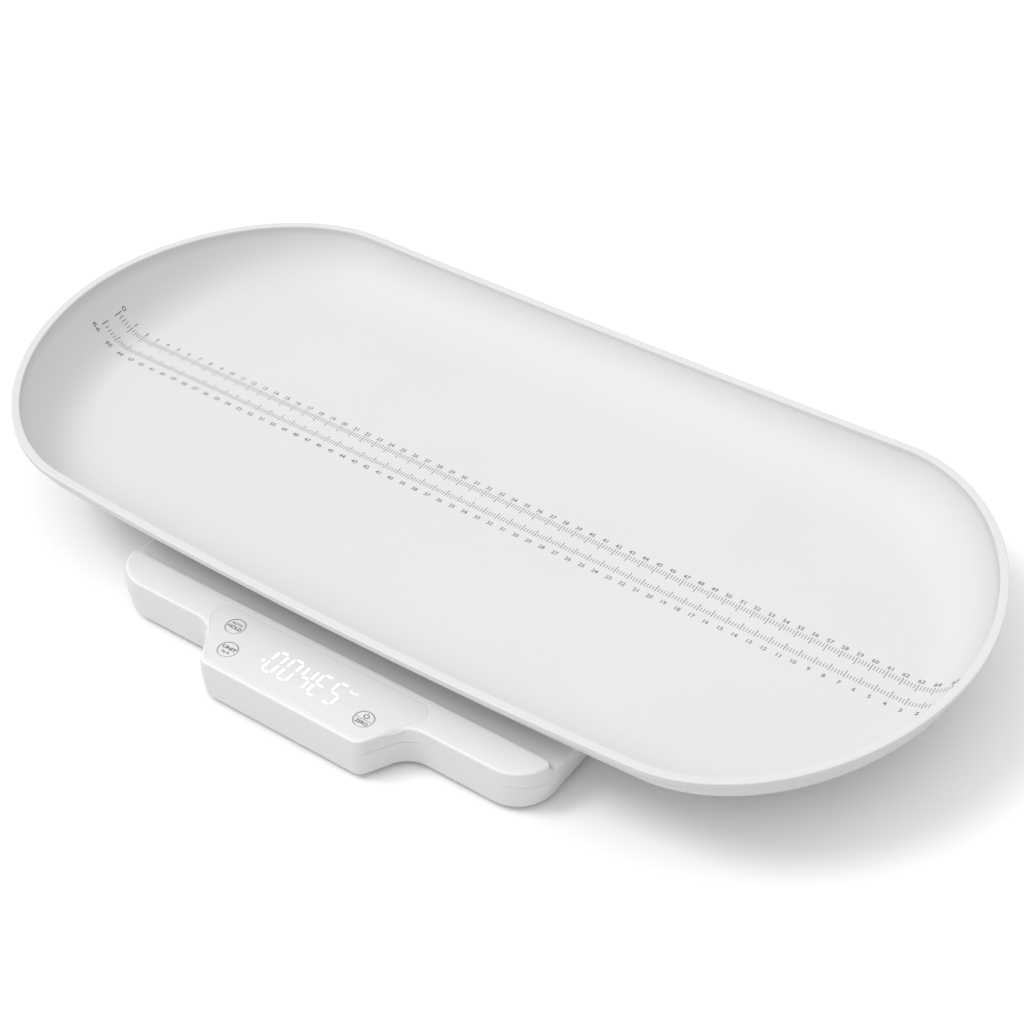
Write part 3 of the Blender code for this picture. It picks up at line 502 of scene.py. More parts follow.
def elastic(name, colour):
    """Rubber or silicone: matt, mottled, with dust caught in its grain."""
    paint = Paint(name)
    fine = paint.noise(1600, 4)
    dust = paint.noise(130, 4)
    lighter = tuple(min(1, part * 1.5 + 0.02) for part in colour)
    paint.set("Base Color", paint.mix(dust ** 3, (*colour, 1), (*lighter, 1)))
    paint.set("Roughness", dust * 0.2 + 0.65)
    paint.bump(fine, 0.5, 0.0001)
    return paint.material


def sheathed(name, colour):
    """Cable sheath with a soft sheen."""
    paint = Paint(name)
    smear = paint.noise(300, 3)
    lighter = tuple(min(1, part * 1.3 + 0.02) for part in colour)
    paint.set("Base Color", paint.mix(smear, (*colour, 1), (*lighter, 1)))
    paint.set("Roughness", smear * 0.2 + 0.4)
    paint.bump(smear, 0.2, 0.0001)
    return paint.material


def solder_mask():
    """Board: green mask over copper tracks, which show as slightly raised lighter lines."""
    paint = Paint("solder_mask")
    tracks = paint.node(
        "ShaderNodeTexBrick",
        {"offset": 0.5, "squash": 0.6},
        {
            "Vector": paint.place(),
            "Scale": 220,
            "Mortar Size": 0.06,
            "Color1": (0, 0, 0, 1),
            "Color2": (0, 0, 0, 1),
            "Mortar": (1, 1, 1, 1),
        },
        "Fac",
    )
    cloud = paint.noise(90, 3)
    green = paint.mix(cloud, (0.012, 0.12, 0.045, 1), (0.02, 0.17, 0.065, 1))
    paint.set("Base Color", paint.mix(tracks * 0.6, green, (0.05, 0.3, 0.12, 1)))
    paint.set("Roughness", cloud * 0.15 + 0.25)
    paint.bump(tracks, 0.4, 0.0001)
    return paint.material


def cell_sleeve():
    """Battery sleeve: dark film with a copper-coloured band near the nub and no print."""
    paint = Paint("cell_sleeve")
    parts = paint.node("ShaderNodeSeparateXYZ", {}, {"Vector": paint.place()})
    band = paint.node(
        "ShaderNodeMath", {"operation": "GREATER_THAN"}, {0: parts, 1: 0.0125}
    )
    smear = paint.noise(120, 3)
    dark = paint.mix(smear, (0.03, 0.032, 0.04, 1), (0.05, 0.052, 0.06, 1))
    paint.set("Base Color", paint.mix(band, dark, (0.45, 0.2, 0.08, 1)))
    paint.set("Metallic", band * 0.7)
    paint.set("Roughness", smear * 0.15 + 0.25)
    return paint.material


def ink(name, colour):
    """Pad-printed ink, thinner in places."""
    paint = Paint(name)
    thin = paint.noise(2500, 3)
    paper = tuple(min(1, part * 1.5 + 0.05) for part in colour)
    paint.set("Base Color", paint.mix(thin ** 2, (*colour, 1), (*paper, 1)))
    paint.set("Roughness", thin * 0.1 + 0.45)
    return paint.material


def lit_segment(name, shade, strength):
    """White display segments seen through the panel, a little uneven."""
    paint = Paint(name, Roughness=0.3, Emission_Strength=strength)
    uneven = paint.noise(900, 2)
    low = shade * 0.97
    paint.set("Base Color", paint.mix(uneven, (low, low, low, 1), (shade, shade, shade, 1)))
    paint.set("Emission Color", paint.mix(uneven, (0.93, 0.95, 1, 1), (1, 1, 1, 1)))
    return paint.material


# Painted shade: the tray's upright and downward faces, the lip's outer face among them, are
# darkened to 0.82.
tray_white = moulded(
    "tray_white", (0.7, 0.7, 0.7), 0.55, 1400, 0.00003, 0.82, 0.03, Specular_IOR_Level=0.3
)
# Painted shade: the case's upright faces are darkened to 0.8 of its colour.
case_white = moulded(
    "case_white", (0.79, 0.79, 0.79), 0.4, 1800, 0.00002, 0.8, Specular_IOR_Level=0.3
)
panel_white = moulded("panel_white", (0.765, 0.765, 0.765), 0.2, 2400, 0.00001, Coat_Weight=0.2)
key_white = moulded("key_white", (0.765, 0.765, 0.765), 0.2, 2400, 0.00001, Coat_Weight=0.2)
inner_white = moulded("inner_white", (0.7, 0.7, 0.68), 0.5, 1200, 0.00004)
moulded_black = moulded("moulded_black", (0.03, 0.03, 0.03), 0.45, 1500, 0.00004)
reflector_white = moulded("reflector_white", (0.75, 0.75, 0.74), 0.4, 1600, 0.00003)
foot_rubber = elastic("foot_rubber", (0.05, 0.05, 0.052))
pad_silicone = elastic("pad_silicone", (0.5, 0.5, 0.5))
cell_steel = brushed("cell_steel", (0.6, 0.61, 0.63), 0.35)
contact_nickel = brushed("contact_nickel", (0.68, 0.66, 0.6), 0.3)
board_mask = solder_mask()
battery_sleeve = cell_sleeve()
grey_sheath = sheathed("grey_sheath", (0.3, 0.3, 0.31))
red_sheath = sheathed("red_sheath", (0.45, 0.02, 0.02))
black_sheath = sheathed("black_sheath", (0.02, 0.02, 0.02))
ruler_ink = ink("ruler_ink", (0.17, 0.17, 0.17))
key_ink = ink("key_ink", (0.05, 0.05, 0.05))
segment_light = lit_segment("lit_segment", 0.9, 0.9)
segment_glow = lit_segment("segment_glow", 0.74, 0.12)
dim_segment_light = lit_segment("dim_segment", 0.76, 0.3)


# CAD nodes that stay
def softened():
    """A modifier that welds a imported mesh, shades its curves smooth and keeps real edges."""
    group = bpy.data.node_groups.new("softened", "GeometryNodeTree")
    group.interface.new_socket("Geometry", in_out="INPUT", socket_type="NodeSocketGeometry")
    group.interface.new_socket("Geometry", in_out="OUTPUT", socket_type="NodeSocketGeometry")
    source = group.nodes.new("NodeGroupInput")
    weld = group.nodes.new("GeometryNodeMergeByDistance")
    weld.inputs["Distance"].default_value = 0.000002
    bare = group.nodes.new("GeometryNodeRemoveAttribute")
    bare.inputs["Name"].default_value = "custom_normal"
    faces = group.nodes.new("GeometryNodeSetShadeSmooth")
    angle = group.nodes.new("GeometryNodeInputMeshEdgeAngle")
    steep = group.nodes.new("FunctionNodeCompare")
    steep.inputs[1].default_value = math.radians(32)
    edges = group.nodes.new("GeometryNodeSetShadeSmooth")
    edges.domain = "EDGE"
    edges.inputs["Shade Smooth"].default_value = False
    end = group.nodes.new("NodeGroupOutput")
    link = group.links.new
    link(source.outputs[0], weld.inputs["Geometry"])
    link(weld.outputs["Geometry"], bare.inputs["Geometry"])
    link(bare.outputs["Geometry"], faces.inputs["Geometry"])
    link(faces.outputs["Geometry"], edges.inputs["Geometry"])
    link(angle.outputs["Unsigned Angle"], steep.inputs[0])
    link(steep.outputs["Result"], edges.inputs["Selection"])
    link(edges.outputs["Geometry"], end.inputs[0])
    return group


finishes = {
    "tray_plastic": tray_white,
    "case_plastic": case_white,
    "inner_plastic": inner_white,
    "panel_plastic": panel_white,
    "key_plastic": key_white,
    "rubber": foot_rubber,
    "silicone": pad_silicone,
    "steel": cell_steel,
    "nickel": contact_nickel,
    "board_green": board_mask,
    "black_plastic": moulded_black,
    "led_white": reflector_white,
    "cell_jacket": battery_sleeve,
    "cable_grey": grey_sheath,
    "cable_red": red_sheath,
    "cable_black": black_sheath,
}
smooth_group = softened()
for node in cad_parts.values():
    slot = node.data.materials[0].name
    node.data.materials[0] = finishes[slot.split(".")[0]]
    smooth = node.modifiers.new("softened", "NODES")
    smooth.node_group = smooth_group
    weighted = node.modifiers.new("weighted", "WEIGHTED_NORMAL")
    weighted.keep_sharp = True


# Tray
def rise(x):
    return rim_rise + end_rise * (x / half_length) ** 2


def bow(x):
    return 1 + side_bow * (1 - (x / half_length) ** 2) / half_width


def snug_inset(inset, depth, angle):
    """Inset of the wall, which is steeper at the two ends."""
    return inset + depth * (1 - end_snug * math.cos(angle) ** 4)


def tray_ring(inset, lift_share, drop, depth=0, end_steps=44, side_steps=16):
    """Ring at an inset from the rim, at a share of the rim's height, less a drop."""
    straight = half_length - end_reach
    bend = 2 / end_exponent
    quarter = []
    for i in range(end_steps):
        angle = math.pi / 2 * i / end_steps
        snug = snug_inset(inset, depth, angle)
        x = straight + (end_reach - snug) * math.cos(angle) ** bend
        quarter.append((x, (half_width - snug) * math.sin(angle) ** bend))
    for i in range(side_steps):
        quarter.append((straight * (1 - i / side_steps), half_width - inset - depth))
    outline = list(quarter)
    outline.append((0, half_width - inset - depth))
    outline += [(-x, y) for x, y in reversed(quarter)]
    outline += [(-x, -y) for x, y in quarter[1:]]
    outline.append((0, inset + depth - half_width))
    outline += [(x, -y) for x, y in reversed(quarter[1:])]
    return [(x, y * bow(x), floor_z + rise(x) * lift_share - drop) for x, y in outline]


def tray_rings():
    """The closed skin of the tray, from under its middle out, over the lip and back in."""
    rings = [tray_ring(wall_reach * 2, 0, wall)]
    outer_steps = 24
    wall_depth = wall_reach - lip_width
    for i in range(outer_steps + 1):
        angle = math.pi / 2 * i / outer_steps
        slope = math.atan2(rim_rise * math.sin(angle), wall_depth * math.cos(angle))
        share = 1 - math.cos(angle)
        inset = lip_width - side_wall * math.sin(slope)
        drop = wall * math.cos(slope) + lip_height * share ** lip_blend
        rings.append(tray_ring(inset, share, drop, wall_depth * (1 - math.sin(angle))))
    small = lip_round / 2
    for angle in (0, 30, 60, 90):
        turn = math.radians(angle)
        inset = small * (1 - math.sin(turn))
        rings.append(tray_ring(inset, 1, lip_height - small * (1 - math.cos(turn))))
    for angle in (0, 15, 30, 45, 60, 75, 90):
        turn = math.radians(angle)
        inset = lip_round * (1 - math.cos(turn))
        rings.append(tray_ring(inset, 1, lip_round * (1 - math.sin(turn))))
    rings.append(tray_ring(lip_width / 2, 1, 0))
    for angle in (90, 70, 50, 30, 10):
        turn = math.radians(angle)
        inset = lip_width - lip_round * (1 - math.cos(turn))
        rings.append(tray_ring(inset, 1, lip_round * (1 - math.sin(turn))))
    inner_steps = 40
    for i in reversed(range(inner_steps)):
        angle = math.pi / 2 * i / inner_steps
        if lip_round < rise(0) * math.cos(angle):
            depth = wall_depth * (1 - math.sin(angle))
            rings.append(tray_ring(lip_width, 1 - math.cos(angle), 0, depth))
    rings.append(tray_ring(wall_reach * 1.4, 0, 0))
    rings.append(tray_ring(wall_reach * 2, 0, 0))
    return rings


def inner_height(x, y):
    """Height of the tray's inner surface over a place in plan."""
    into_end = max(abs(x) - (half_length - end_reach), 0)
    angle = math.atan2(abs(y) ** (end_exponent / 2), into_end ** (end_exponent / 2))
    low, high = 0, wall_reach - lip_width
    for _ in range(30):
        depth = (low + high) / 2
        inset = snug_inset(lip_width, depth, angle)
        out = into_end / (end_reach - inset)
        across = abs(y) / ((half_width - inset) * bow(x))
        if out ** end_exponent + across ** end_exponent > 1:
            high = depth
        else:
            low = depth
    share = 1 - low / (wall_reach - lip_width)
    return floor_z + rise(x) * (1 - math.sqrt(1 - min(share, 1) ** 2))


tray = piece_from("tray_bowl", loft("tray_bowl", tray_rings()), tray_white, "tray")
stands_for("tray_shell")


def rib(low, high):
    """A rib with slightly drawn sides."""
    rings = []
    for z, draft in ((low[2], rib_draft), (high[2], 0)):
        left, right = low[0] + draft, high[0] - draft
        front, back = low[1] + draft, high[1] - draft
        rings.append([(left, front, z), (right, front, z), (right, back, z), (left, back, z)])
    return loft("rib", rings)


def underside_ribs():
    """Two long ribs, two cross ribs, a hair lower, and a ring round each pad."""
    under_z = floor_z - wall
    long_z, ring_z, top_z = under_z - rib_depth, under_z - pad_ring_depth, under_z + rib_overlap
    cross_z = long_z + 0.0001
    meshes = []
    for side in (-1, 1):
        y, x = side * rib_y, side * cross_rib_x
        meshes.append(
            rib((-rib_reach_x, y - rib_half, long_z), (rib_reach_x, y + rib_half, top_z))
        )
        meshes.append(
            rib(
                (x - rib_half, -cross_rib_reach_y, cross_z),
                (x + rib_half, cross_rib_reach_y, top_z),
            )
        )
        for end in (-1, 1):
            centre = (end * pad_x, side * pad_y)
            rings = [
                circle(centre, pad_ring_inner, ring_z),
                circle(centre, pad_ring_outer, ring_z),
                circle(centre, pad_ring_outer, top_z),
                circle(centre, pad_ring_inner, top_z),
            ]
            meshes.append(loft("pad_ring", rings, around=True))
    return joined("tray_ribs", meshes)


ribs = piece_from("tray_ribs", underside_ribs(), tray_white, "tray")
stands_for("tray_shell")


# Base shells
base_corners = [
    (-base_half_width, -wing_front_y, corner_radius),
    (-bulge_root_x, -wing_front_y, root_radius),
    (-bulge_half_width, -bulge_front_y, bulge_radius),
    (bulge_half_width, -bulge_front_y, bulge_radius),
    (bulge_root_x, -wing_front_y, root_radius),
    (base_half_width, -wing_front_y, corner_radius),
]


def lean_share(z):
    return 1 - side_lean / base_half_width * (z - parting_z) / (bar_top_z - parting_z)


def whole_plan(inset):
    back = [
        (base_half_width, base_back_y, back_corner_radius),
        (-base_half_width, base_back_y, back_corner_radius),
    ]
    return rounded(base_corners + back, inset)


def leaning(inset, z):
    return at(whole_plan(inset), z, lean_share(z))


def round_over(top_z, radius, steps=8):
    """(inset, z) from the side face over a round edge to the top."""
    turns = [math.pi / 2 * i / steps for i in range(steps + 1)]
    return [(radius * (1 - math.cos(a)), top_z - radius * (1 - math.sin(a))) for a in turns]


def step_ring(y, z, steps=12):
    """Plan of what is cut away behind the bar, whose two back corners are rounded."""
    side = base_half_width * lean_share(z) + small_overlap
    curve = []
    for i in range(steps + 1):
        angle = math.pi / 2 * i / steps
        across = bar_corner_radius * (1 - math.sin(angle))
        along = bar_corner_radius * (1 - math.cos(angle))
        curve.append((side - along, y - across, z))
    far, near_y = clear_of_case, y - bar_corner_radius
    right = [(far, near_y, z), (far, far, z)]
    left = [(-far, far, z), (-far, near_y, z)]
    return left + [(-x, y, z) for x, y, z in curve] + list(reversed(curve)) + right


def top_case():
    skin = [leaning(line_edge, parting_z), leaning(0, parting_z + line_edge)]
    skin += [leaning(i, z) for i, z in round_over(bar_top_z, top_round)]
    low_ends = (parting_z - overlap, deck_z - deck_round - small_overlap)
    deck = [leaning(-overlap, z) for z in low_ends]
    deck += [leaning(i, z) for i, z in round_over(deck_z, deck_round)]
    step = [
        step_ring(-bar_back_y + step_slope, parting_z - small_overlap),
        step_ring(-bar_back_y - step_slope / 2, bar_top_z + overlap),
    ]
    behind_bar = without(loft("behind_bar", step), loft("deck", deck))
    rebate_z = parting_z + tongue_height + small_overlap
    rebate = tongue_inset - small_overlap
    deck_under_z = deck_z - shell_wall
    bend = shell_wall + deck_round / 2
    cavity = [
        leaning(rebate, parting_z - overlap),
        leaning(rebate, rebate_z),
        leaning(shell_wall, rebate_z),
        leaning(shell_wall, (rebate_z + deck_under_z) / 2),
        leaning(bend, deck_under_z),
        leaning(bend + small_overlap, bar_top_z - shell_wall),
    ]
    roof = box(
        (-clear_of_case, -bar_back_y - shell_wall, deck_under_z),
        (clear_of_case, clear_of_case, bar_top_z + overlap),
    )
    case = without(loft("top_case", skin), behind_bar, without(loft("cavity", cavity), roof))

    seat = rounded(panel_corners, -skin_margin)
    panel_bottom_z = bar_top_z - panel_depth
    blocks = [loft("seat", [at(seat, skin_bottom_z), at(seat, panel_bottom_z)])]
    ends = (board_top_z + small_overlap, skin_bottom_z + small_overlap)
    for side in (-1, 1):
        for x, y in ((board_boss_x, board_boss_y), (board_pin_x, board_pin_y)):
            blocks.append(round_bar((side * x, -y), board_boss_radius, *ends))
    ends = (column_top_z + slide_clearance, deck_under_z + small_overlap)
    blocks += [round_bar(place, boss_radius, *ends) for place in screw_places]

    recess = rounded(panel_corners)
    window = [
        (window_x + x * window_half_length, y * window_half_width - window_y, window_corner)
        for x, y in ((-1, -1), (1, -1), (1, 1), (-1, 1))
    ]
    window = rounded(window)
    cuts = [
        loft("recess", [at(recess, panel_bottom_z), at(recess, bar_top_z + overlap)]),
        loft("window", [at(window, skin_bottom_z - overlap), at(window, panel_bottom_z + overlap)]),
    ]
    ends = (column_top_z - overlap, boss_hole_top_z)
    cuts += [round_bar(place, boss_hole, *ends) for place in screw_places]
    ends = (board_top_z - overlap, skin_bottom_z - overlap)
    for x in (-board_boss_x, board_boss_x):
        cuts.append(round_bar((x, -board_boss_y), board_screw_hole, *ends))
    ends = (skin_bottom_z - overlap, bar_top_z + overlap)
    cuts += [round_bar(place, key_hole_radius, *ends, 64) for place in key_places.values()]
    socket = [
        (socket_radius - socket_slope, deck_z - socket_depth),
        (socket_radius, deck_z + overlap),
    ]
    cuts += [turned((x, y), socket) for x in (-pad_x, pad_x) for y in (-pad_y, pad_y)]
    return without(with_added(case, *blocks), *cuts)


top = piece_from("top_case", top_case(), case_white, "base")
stands_for("upper_shell")


def bottom_case():
    bottom_share = 1 - side_draft / base_half_width
    skin = []
    for inset, z in reversed(round_over(0, bottom_round)):
        skin.append(at(whole_plan(front_draft + inset), shell_bottom_z - z, bottom_share))
    join_z = parting_z - parting_line
    skin.append(at(whole_plan(0), join_z - line_edge))
    skin.append(at(whole_plan(line_edge), join_z))
    skin.append(at(whole_plan(tongue_inset), join_z))
    skin.append(leaning(tongue_inset, parting_z + tongue_height))
    inside = [
        at(whole_plan(front_draft + shell_wall), floor_top_z, bottom_share),
        at(whole_plan(shell_wall), join_z),
        leaning(shell_wall, parting_z + 2 * tongue_height),
    ]
    case = without(loft("bottom_case", skin), loft("inside", inside))
    feet = [(x, y) for x in (-foot_x, foot_x) for y in (-foot_front_y, foot_back_y)]
    half, corner = well_half + well_wall, well_corner + well_wall
    blocks = [
        rounded_box(place, half, floor_top_z - overlap, well_top_z, corner) for place in feet
    ]
    ends = (floor_top_z - overlap, column_top_z)
    blocks += [round_bar(place, column_radius, *ends, 64) for place in screw_places]
    room = slide_clearance
    bay_back_y = battery_mid_y + bay_half_width
    blocks.append(
        box(
            (-bay_block_half, door_front_y - bay_skin - room, floor_top_z - overlap),
            (bay_block_half, bay_back_y + bay_skin, bay_roof_z + bay_skin),
        )
    )
    cuts = []
    for x, y in feet:
        low_z = shell_bottom_z - overlap
        cuts.append(rounded_box((x, y), well_half, low_z, well_roof_z, well_corner))
        hole_at = (x - math.copysign(cable_offset, x), y - math.copysign(cable_offset, y))
        cuts.append(round_bar(hole_at, cable_hole, well_roof_z - overlap, well_top_z + overlap))
    for place in screw_places:
        profile = [
            (counterbore_radius, shell_bottom_z - overlap),
            (counterbore_radius, counterbore_top_z),
            (column_hole, counterbore_top_z),
            (column_hole, column_top_z + overlap),
        ]
        cuts.append(turned(place, profile))
    inner_back_y = base_back_y - shell_wall / 2
    cuts += [
        box(
            (-bay_half_length, battery_mid_y - bay_half_width, shell_bottom_z),
            (bay_half_length, bay_back_y, bay_roof_z),
        ),
        box(
            (-door_tongue_half - room, door_front_y + overlap, floor_top_z),
            (door_tongue_half + room, inner_back_y, door_groove_top_z),
        ),
        box(
            (-door_half - room, door_front_y - room, shell_bottom_z - overlap),
            (door_half + room, inner_back_y, floor_top_z + overlap / 2),
        ),
        box(
            (-door_lip_half - room, base_back_y - shell_wall - overlap, -overlap),
            (door_lip_half + room, base_back_y + overlap, shell_bottom_z + door_lip_height + room),
        ),
    ]
    lead_z = bay_roof_z - cable_hole - overlap / 2
    for side in (-1, 1):
        ends = sorted((side * (bay_half_length - overlap), side * (bay_block_half + overlap)))
        cuts.append(
            box(
                (ends[0], battery_mid_y - cable_hole, lead_z - cable_hole),
                (ends[1], battery_mid_y + cable_hole, lead_z + cable_hole),
            )
        )
    return without(with_added(case, *blocks), *cuts)


bottom = piece_from("bottom_case", bottom_case(), case_white, "base")
stands_for("lower_shell")


# Display window and keys
def window_pane():
    """The clear-coated panel, let in flush with a fine groove round it."""
    edge = [(0.00003, -0.00025), (0.00012, -0.00006), (0.00018, 0)]
    bottom_gap = 0.00015
    bottom = at(rounded(panel_corners, bottom_gap), bar_top_z - panel_depth + bottom_gap)
    rings = [bottom] + [at(rounded(panel_corners, i), bar_top_z + z) for i, z in edge]
    ends = (skin_bottom_z, bar_top_z + overlap)
    holes = [round_bar(place, key_hole_radius, *ends, 96) for place in key_places.values()]
    return without(loft("window_pane", rings), *holes)


def key_cap(place):
    """A round key: stem, flange under the shell and a cap with a fine round edge."""
    profile = [
        (key_stem_radius, key_stem_bottom_z),
        (key_stem_radius, key_flange_bottom_z),
        (key_flange_radius, key_flange_bottom_z),
        (key_flange_radius, key_flange_top_z),
        (key_radius, key_flange_top_z),
        (key_radius, bar_top_z - panel_edge),
        (key_radius - panel_edge * 0.08, bar_top_z - panel_edge * 0.6),
        (key_radius - panel_edge * 0.3, bar_top_z - panel_edge * 0.3),
        (key_radius - panel_edge * 0.6, bar_top_z - panel_edge * 0.08),
        (key_radius - panel_edge, bar_top_z),
    ]
    return turned(place, profile, 96)


pane = piece_from("window_pane", window_pane(), panel_white, "base")
stands_for("display_panel")
for name, place in key_places.items():
    cap = piece_from(f"cap_{name}", key_cap(place), key_white, f"key_{name}")
    stands_for(f"key_{name}")


# Print
def glyph(text, height, width=0, bold=0):
    """A word as flat faces round its own middle, as high, and if asked as wide, as given."""
    curve = bpy.data.curves.new("word", "FONT")
    curve.body = text
    curve.size = height
    curve.offset = bold
    curve.align_x = "CENTER"
    curve.align_y = "CENTER"
    curve.resolution_u = 2
    shown = bpy.data.objects.new("word", curve)
    bpy.context.scene.collection.objects.link(shown)
    bpy.context.view_layer.update()
    evaluated = shown.evaluated_get(bpy.context.evaluated_depsgraph_get())
    mesh = evaluated.to_mesh()
    points = [(point.co.x, point.co.y) for point in mesh.vertices]
    faces = [list(face.vertices) for face in mesh.polygons]
    evaluated.to_mesh_clear()
    bpy.data.objects.remove(shown)
    bpy.data.curves.remove(curve)
    left, right = min(x for x, _ in points), max(x for x, _ in points)
    low, high = min(y for _, y in points), max(y for _, y in points)
    tall = height / (high - low)
    wide = width / (right - left) if width else tall
    middle = ((left + right) / 2, (low + high) / 2)
    return [((x - middle[0]) * wide, (y - middle[1]) * tall) for x, y in points], faces


def printed(name, marks, height, paint, body):
    """Marks are (points, faces) in plan; height(x, y) gives the surface that they lie on."""
    points, faces = [], []
    for mark_points, mark_faces in marks:
        start = len(points)
        points += [(x, y, height(x, y) + print_lift) for x, y in mark_points]
        faces += [[start + i for i in face] for face in mark_faces]
    mesh = mesh_from(name, points, faces)
    if sum(face.normal.z for face in mesh.polygons) < 0:
        mesh.flip_normals()
    return piece_from(name, mesh, paint, body)


def moved(mark, x, y):
    points, faces = mark
    return [(px + x, py + y) for px, py in points], faces


def stroke(x0, y0, x1, y1, width):
    """A straight mark with square ends, in two halves so that it follows a curved wall."""
    length = math.hypot(x1 - x0, y1 - y0)
    nx, ny = -(y1 - y0) / length * width / 2, (x1 - x0) / length * width / 2
    points = []
    for share in (0, 0.5, 1):
        x, y = x0 + (x1 - x0) * share, y0 + (y1 - y0) * share
        points += [(x + nx, y + ny), (x - nx, y - ny)]
    return points, [[0, 1, 3, 2], [2, 3, 5, 4]]


ruler_pitch = 0.010
upper_start_x = -0.3263
lower_end_x = 0.3237
ruler_length = 65
ruler_parts = 5
# Inner end, outer end and width of a tick at a whole centimetre and between two of them
whole_tick = (0.0034, 0.0100, 0.0005)
part_tick = (0.0055, 0.0095, 0.0004)
lower_tick_cut = 0.0004
number_height = 0.0033
number_bold = 0.00005
upper_number_y = 0.0129
lower_number_y = -0.0150


def ruler_marks():
    ticks, numbers = [], []
    words = [glyph(str(i), number_height, bold=number_bold) for i in range(ruler_length + 2)]
    for i in range(ruler_length * ruler_parts + 1):
        count, part = divmod(i, ruler_parts)
        inner, outer, width = part_tick if part else whole_tick
        upper_x = upper_start_x + i * ruler_pitch / ruler_parts
        lower_x = lower_end_x - i * ruler_pitch / ruler_parts
        ticks.append(stroke(upper_x, inner, upper_x, outer, width))
        ticks.append(stroke(lower_x, -inner, lower_x, lower_tick_cut - outer, width))
        if part == 0:
            numbers.append(moved(words[count], upper_x, upper_number_y))
            numbers.append(moved(words[count + 1], lower_x, lower_number_y))
    return ticks, numbers


ticks, numbers = ruler_marks()
printed("ruler_ticks", ticks, inner_height, ruler_ink, "tray")
printed("ruler_numbers", numbers, inner_height, ruler_ink, "tray")


# Display
digit_mid_y = 0.1879
digit_width = 0.0068
digit_height = 0.0178
digit_lean = 0.0009
segment_width = 0.0011
segment_gap = 0.0011
segment_tip = 0.8
glow_spread = 0.0004
digit_places = (-0.0206, -0.0091, 0.0024, 0.0133, 0.0247)
lit = ("abcdef", "abcdef", "bcfg", "adefg", "acdfg")
dot_place = (-0.0276, -0.1906)
dot_radius = 0.0009
dot_glow_radius = 0.0014


def segment(x0, y0, x1, y1, spread):
    """A bar with pointed ends between two corners of a digit, made wider by a spread."""
    length = math.hypot(x1 - x0, y1 - y0)
    ux, uy = (x1 - x0) / length, (y1 - y0) / length
    half = segment_width / 2 + spread
    gap = segment_gap - spread
    tip = half * segment_tip
    ends = (gap, gap + tip, length - gap - tip, length - gap)
    outline = [
        (ends[0], 0),
        (ends[1], half),
        (ends[2], half),
        (ends[3], 0),
        (ends[2], -half),
        (ends[1], -half),
    ]
    return [(x0 + ux * a - uy * b, y0 + uy * a + ux * b) for a, b in outline], [[0, 1, 2, 3, 4, 5]]


def digit(place, names, spread=0):
    left, right = place - digit_width / 2, place + digit_width / 2
    top, bottom = -digit_mid_y + digit_height / 2, -digit_mid_y - digit_height / 2
    middle = -digit_mid_y
    lean = digit_lean / 2
    ends = {
        "a": (left + lean, top, right + lean, top),
        "b": (right + lean, top, right, middle),
        "c": (right, middle, right - lean, bottom),
        "d": (left - lean, bottom, right - lean, bottom),
        "e": (left, middle, left - lean, bottom),
        "f": (left + lean, top, left, middle),
        "g": (left, middle, right, middle),
    }
    return [segment(*ends[name], spread) for name in names]


def panel_height(x, y):
    return bar_top_z


def glow_height(x, y):
    return bar_top_z - print_lift / 2


def dot(radius, steps=20):
    return [(x, y) for x, y, _ in circle(dot_place, radius, 0, steps)], [list(range(steps))]


display, glow = [dot(dot_radius)], [dot(dot_glow_radius)]
for place, names in zip(digit_places, lit):
    display += digit(place, names)
    glow += digit(place, names, glow_spread)
printed("display_glow", glow, glow_height, segment_glow, "base")
printed("display_digits", display, panel_height, segment_light, "base")
unit_mark = [moved(glyph("kg", 0.0032, 0.0060, 0.00012), 0.0339, -0.1819)]
printed("display_unit", unit_mark, panel_height, dim_segment_light, "base")


# Key print
def ring_mark(centre, radius, width, start=0, end=360, steps=72):
    points, faces = [], []
    for i in range(steps + 1):
        angle = math.radians(start + (end - start) * i / steps)
        x, y = math.cos(angle), math.sin(angle)
        for reach in (radius - width / 2, radius + width / 2):
            points.append((centre[0] + reach * x, centre[1] + reach * y))
        if i:
            faces.append([2 * i - 2, 2 * i - 1, 2 * i + 1, 2 * i])
    return points, faces


def key_print(name, marks):
    marks.append(ring_mark(key_places[name], key_radius - 0.0004, 0.0002))
    printed(f"key_print_{name}", marks, panel_height, key_ink, f"key_{name}")


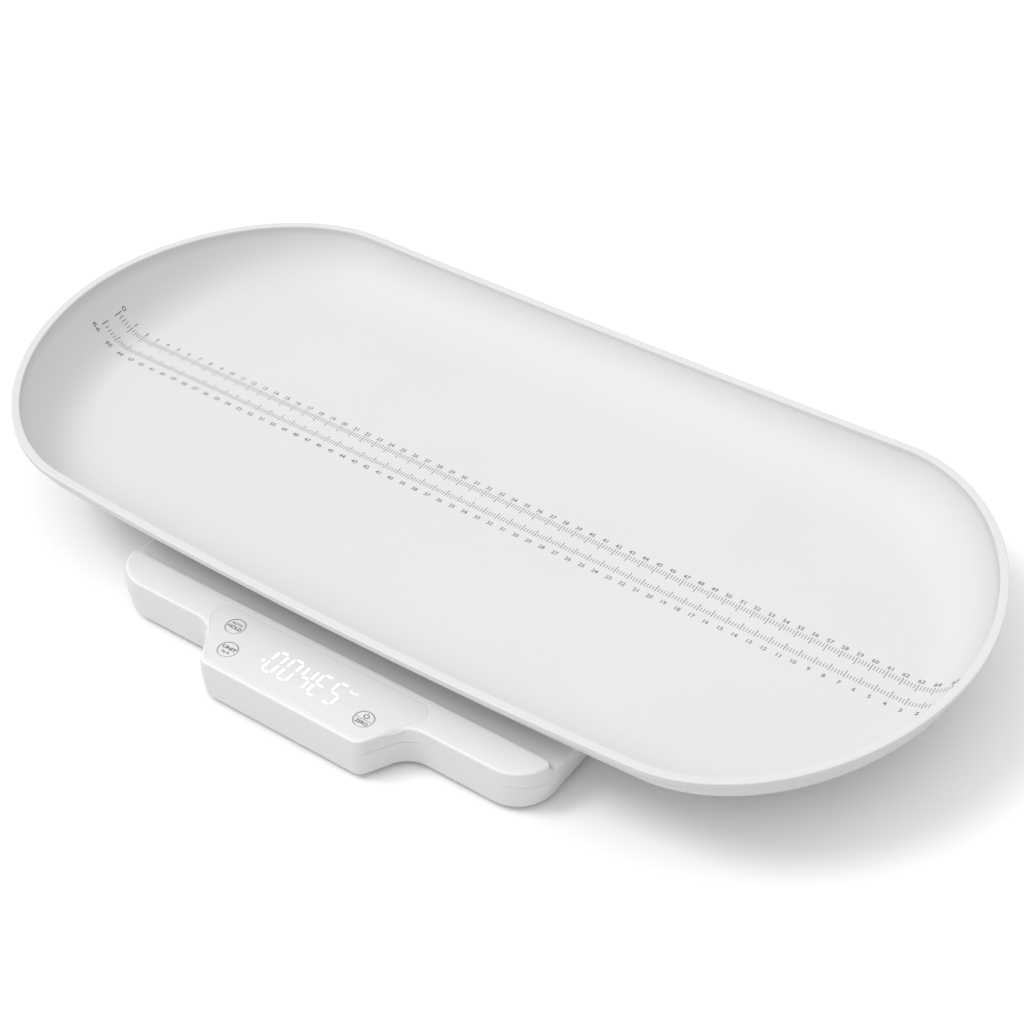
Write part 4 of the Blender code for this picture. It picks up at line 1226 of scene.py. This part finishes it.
key_print(
    "hold",
    [
        moved(glyph("AUTO", 0.0020, 0.0077, 0.00003), -0.0602, -0.1758),
        moved(glyph("HOLD", 0.0027, 0.0100, 0.00007), -0.0598, -0.1790),
    ],
)
key_print(
    "unit",
    [
        moved(glyph("UNIT", 0.0027, 0.0100, 0.00007), -0.0507, -0.1944),
        moved(glyph("kg lb", 0.0021, 0.0056, 0.00003), -0.0507, -0.1982),
    ],
)
power_x, power_y = 0.0512, -0.1920
key_print(
    "power",
    [
        ring_mark((power_x, power_y), 0.0016, 0.0006, 130, 410, 30),
        stroke(power_x, power_y + 0.0005, power_x, power_y + 0.0024, 0.0006),
        stroke(0.0456, -0.1949, 0.0566, -0.1947, 0.0003),
        moved(glyph("ZERO", 0.0025, 0.0086, 0.00006), 0.0514, -0.1973),
    ],
)

# Stage, light and camera
floor_half = 6
floor = bpy.data.objects.new(
    "floor",
    mesh_from(
        "floor",
        [(x * floor_half, y * floor_half, 0) for x, y in ((-1, -1), (1, -1), (1, 1), (-1, 1))],
        [[0, 1, 2, 3]],
    ),
)
bpy.context.scene.collection.objects.link(floor)
sweep = Paint("paper_sweep", Roughness=0.9, Specular_IOR_Level=0.1)
sweep.set("Base Color", sweep.mix(sweep.noise(3, 2), (0.94, 0.94, 0.94, 1), (0.95, 0.95, 0.95, 1)))
floor.data.materials.append(sweep.material)

world = bpy.data.worlds.new("studio")
world.use_nodes = True
surround = world.node_tree.nodes["Background"].inputs
surround["Color"].default_value = (1, 1, 1, 1)
surround["Strength"].default_value = 0.76
bpy.context.scene.world = world


def soft_light(name, towards, strength, width):
    lamp = bpy.data.lights.new(name, "SUN")
    lamp.energy = strength
    lamp.angle = math.radians(width)
    shown = bpy.data.objects.new(name, lamp)
    shown.rotation_euler = Vector(towards).to_track_quat("Z", "Y").to_euler()
    bpy.context.scene.collection.objects.link(shown)


soft_light("key_light", (-0.56, -0.42, 1), 0.98, 22)
soft_light("top_softbox", (-0.1, -0.3, 0.95), 0.64, 70)

view_azimuth = math.radians(34.64)
view_elevation = math.radians(40.74)
view_distance = 1.29139
view_target = Vector((0.01921, 0.00206 + shift_y, floor_z))
back = Vector(
    (
        math.sin(view_azimuth) * math.cos(view_elevation),
        -math.cos(view_azimuth) * math.cos(view_elevation),
        math.sin(view_elevation),
    )
)
lens = bpy.data.cameras.new("camera")
lens.sensor_width = 36
lens.lens = 70.48
lens.clip_start = 0.01
lens.clip_end = 100
camera = bpy.data.objects.new("camera", lens)
camera.location = view_target + back * view_distance
camera.rotation_euler = (-back).to_track_quat("-Z", "Y").to_euler()
bpy.context.scene.collection.objects.link(camera)
bpy.context.scene.camera = camera
bpy.context.scene.view_settings.view_transform = "Standard"
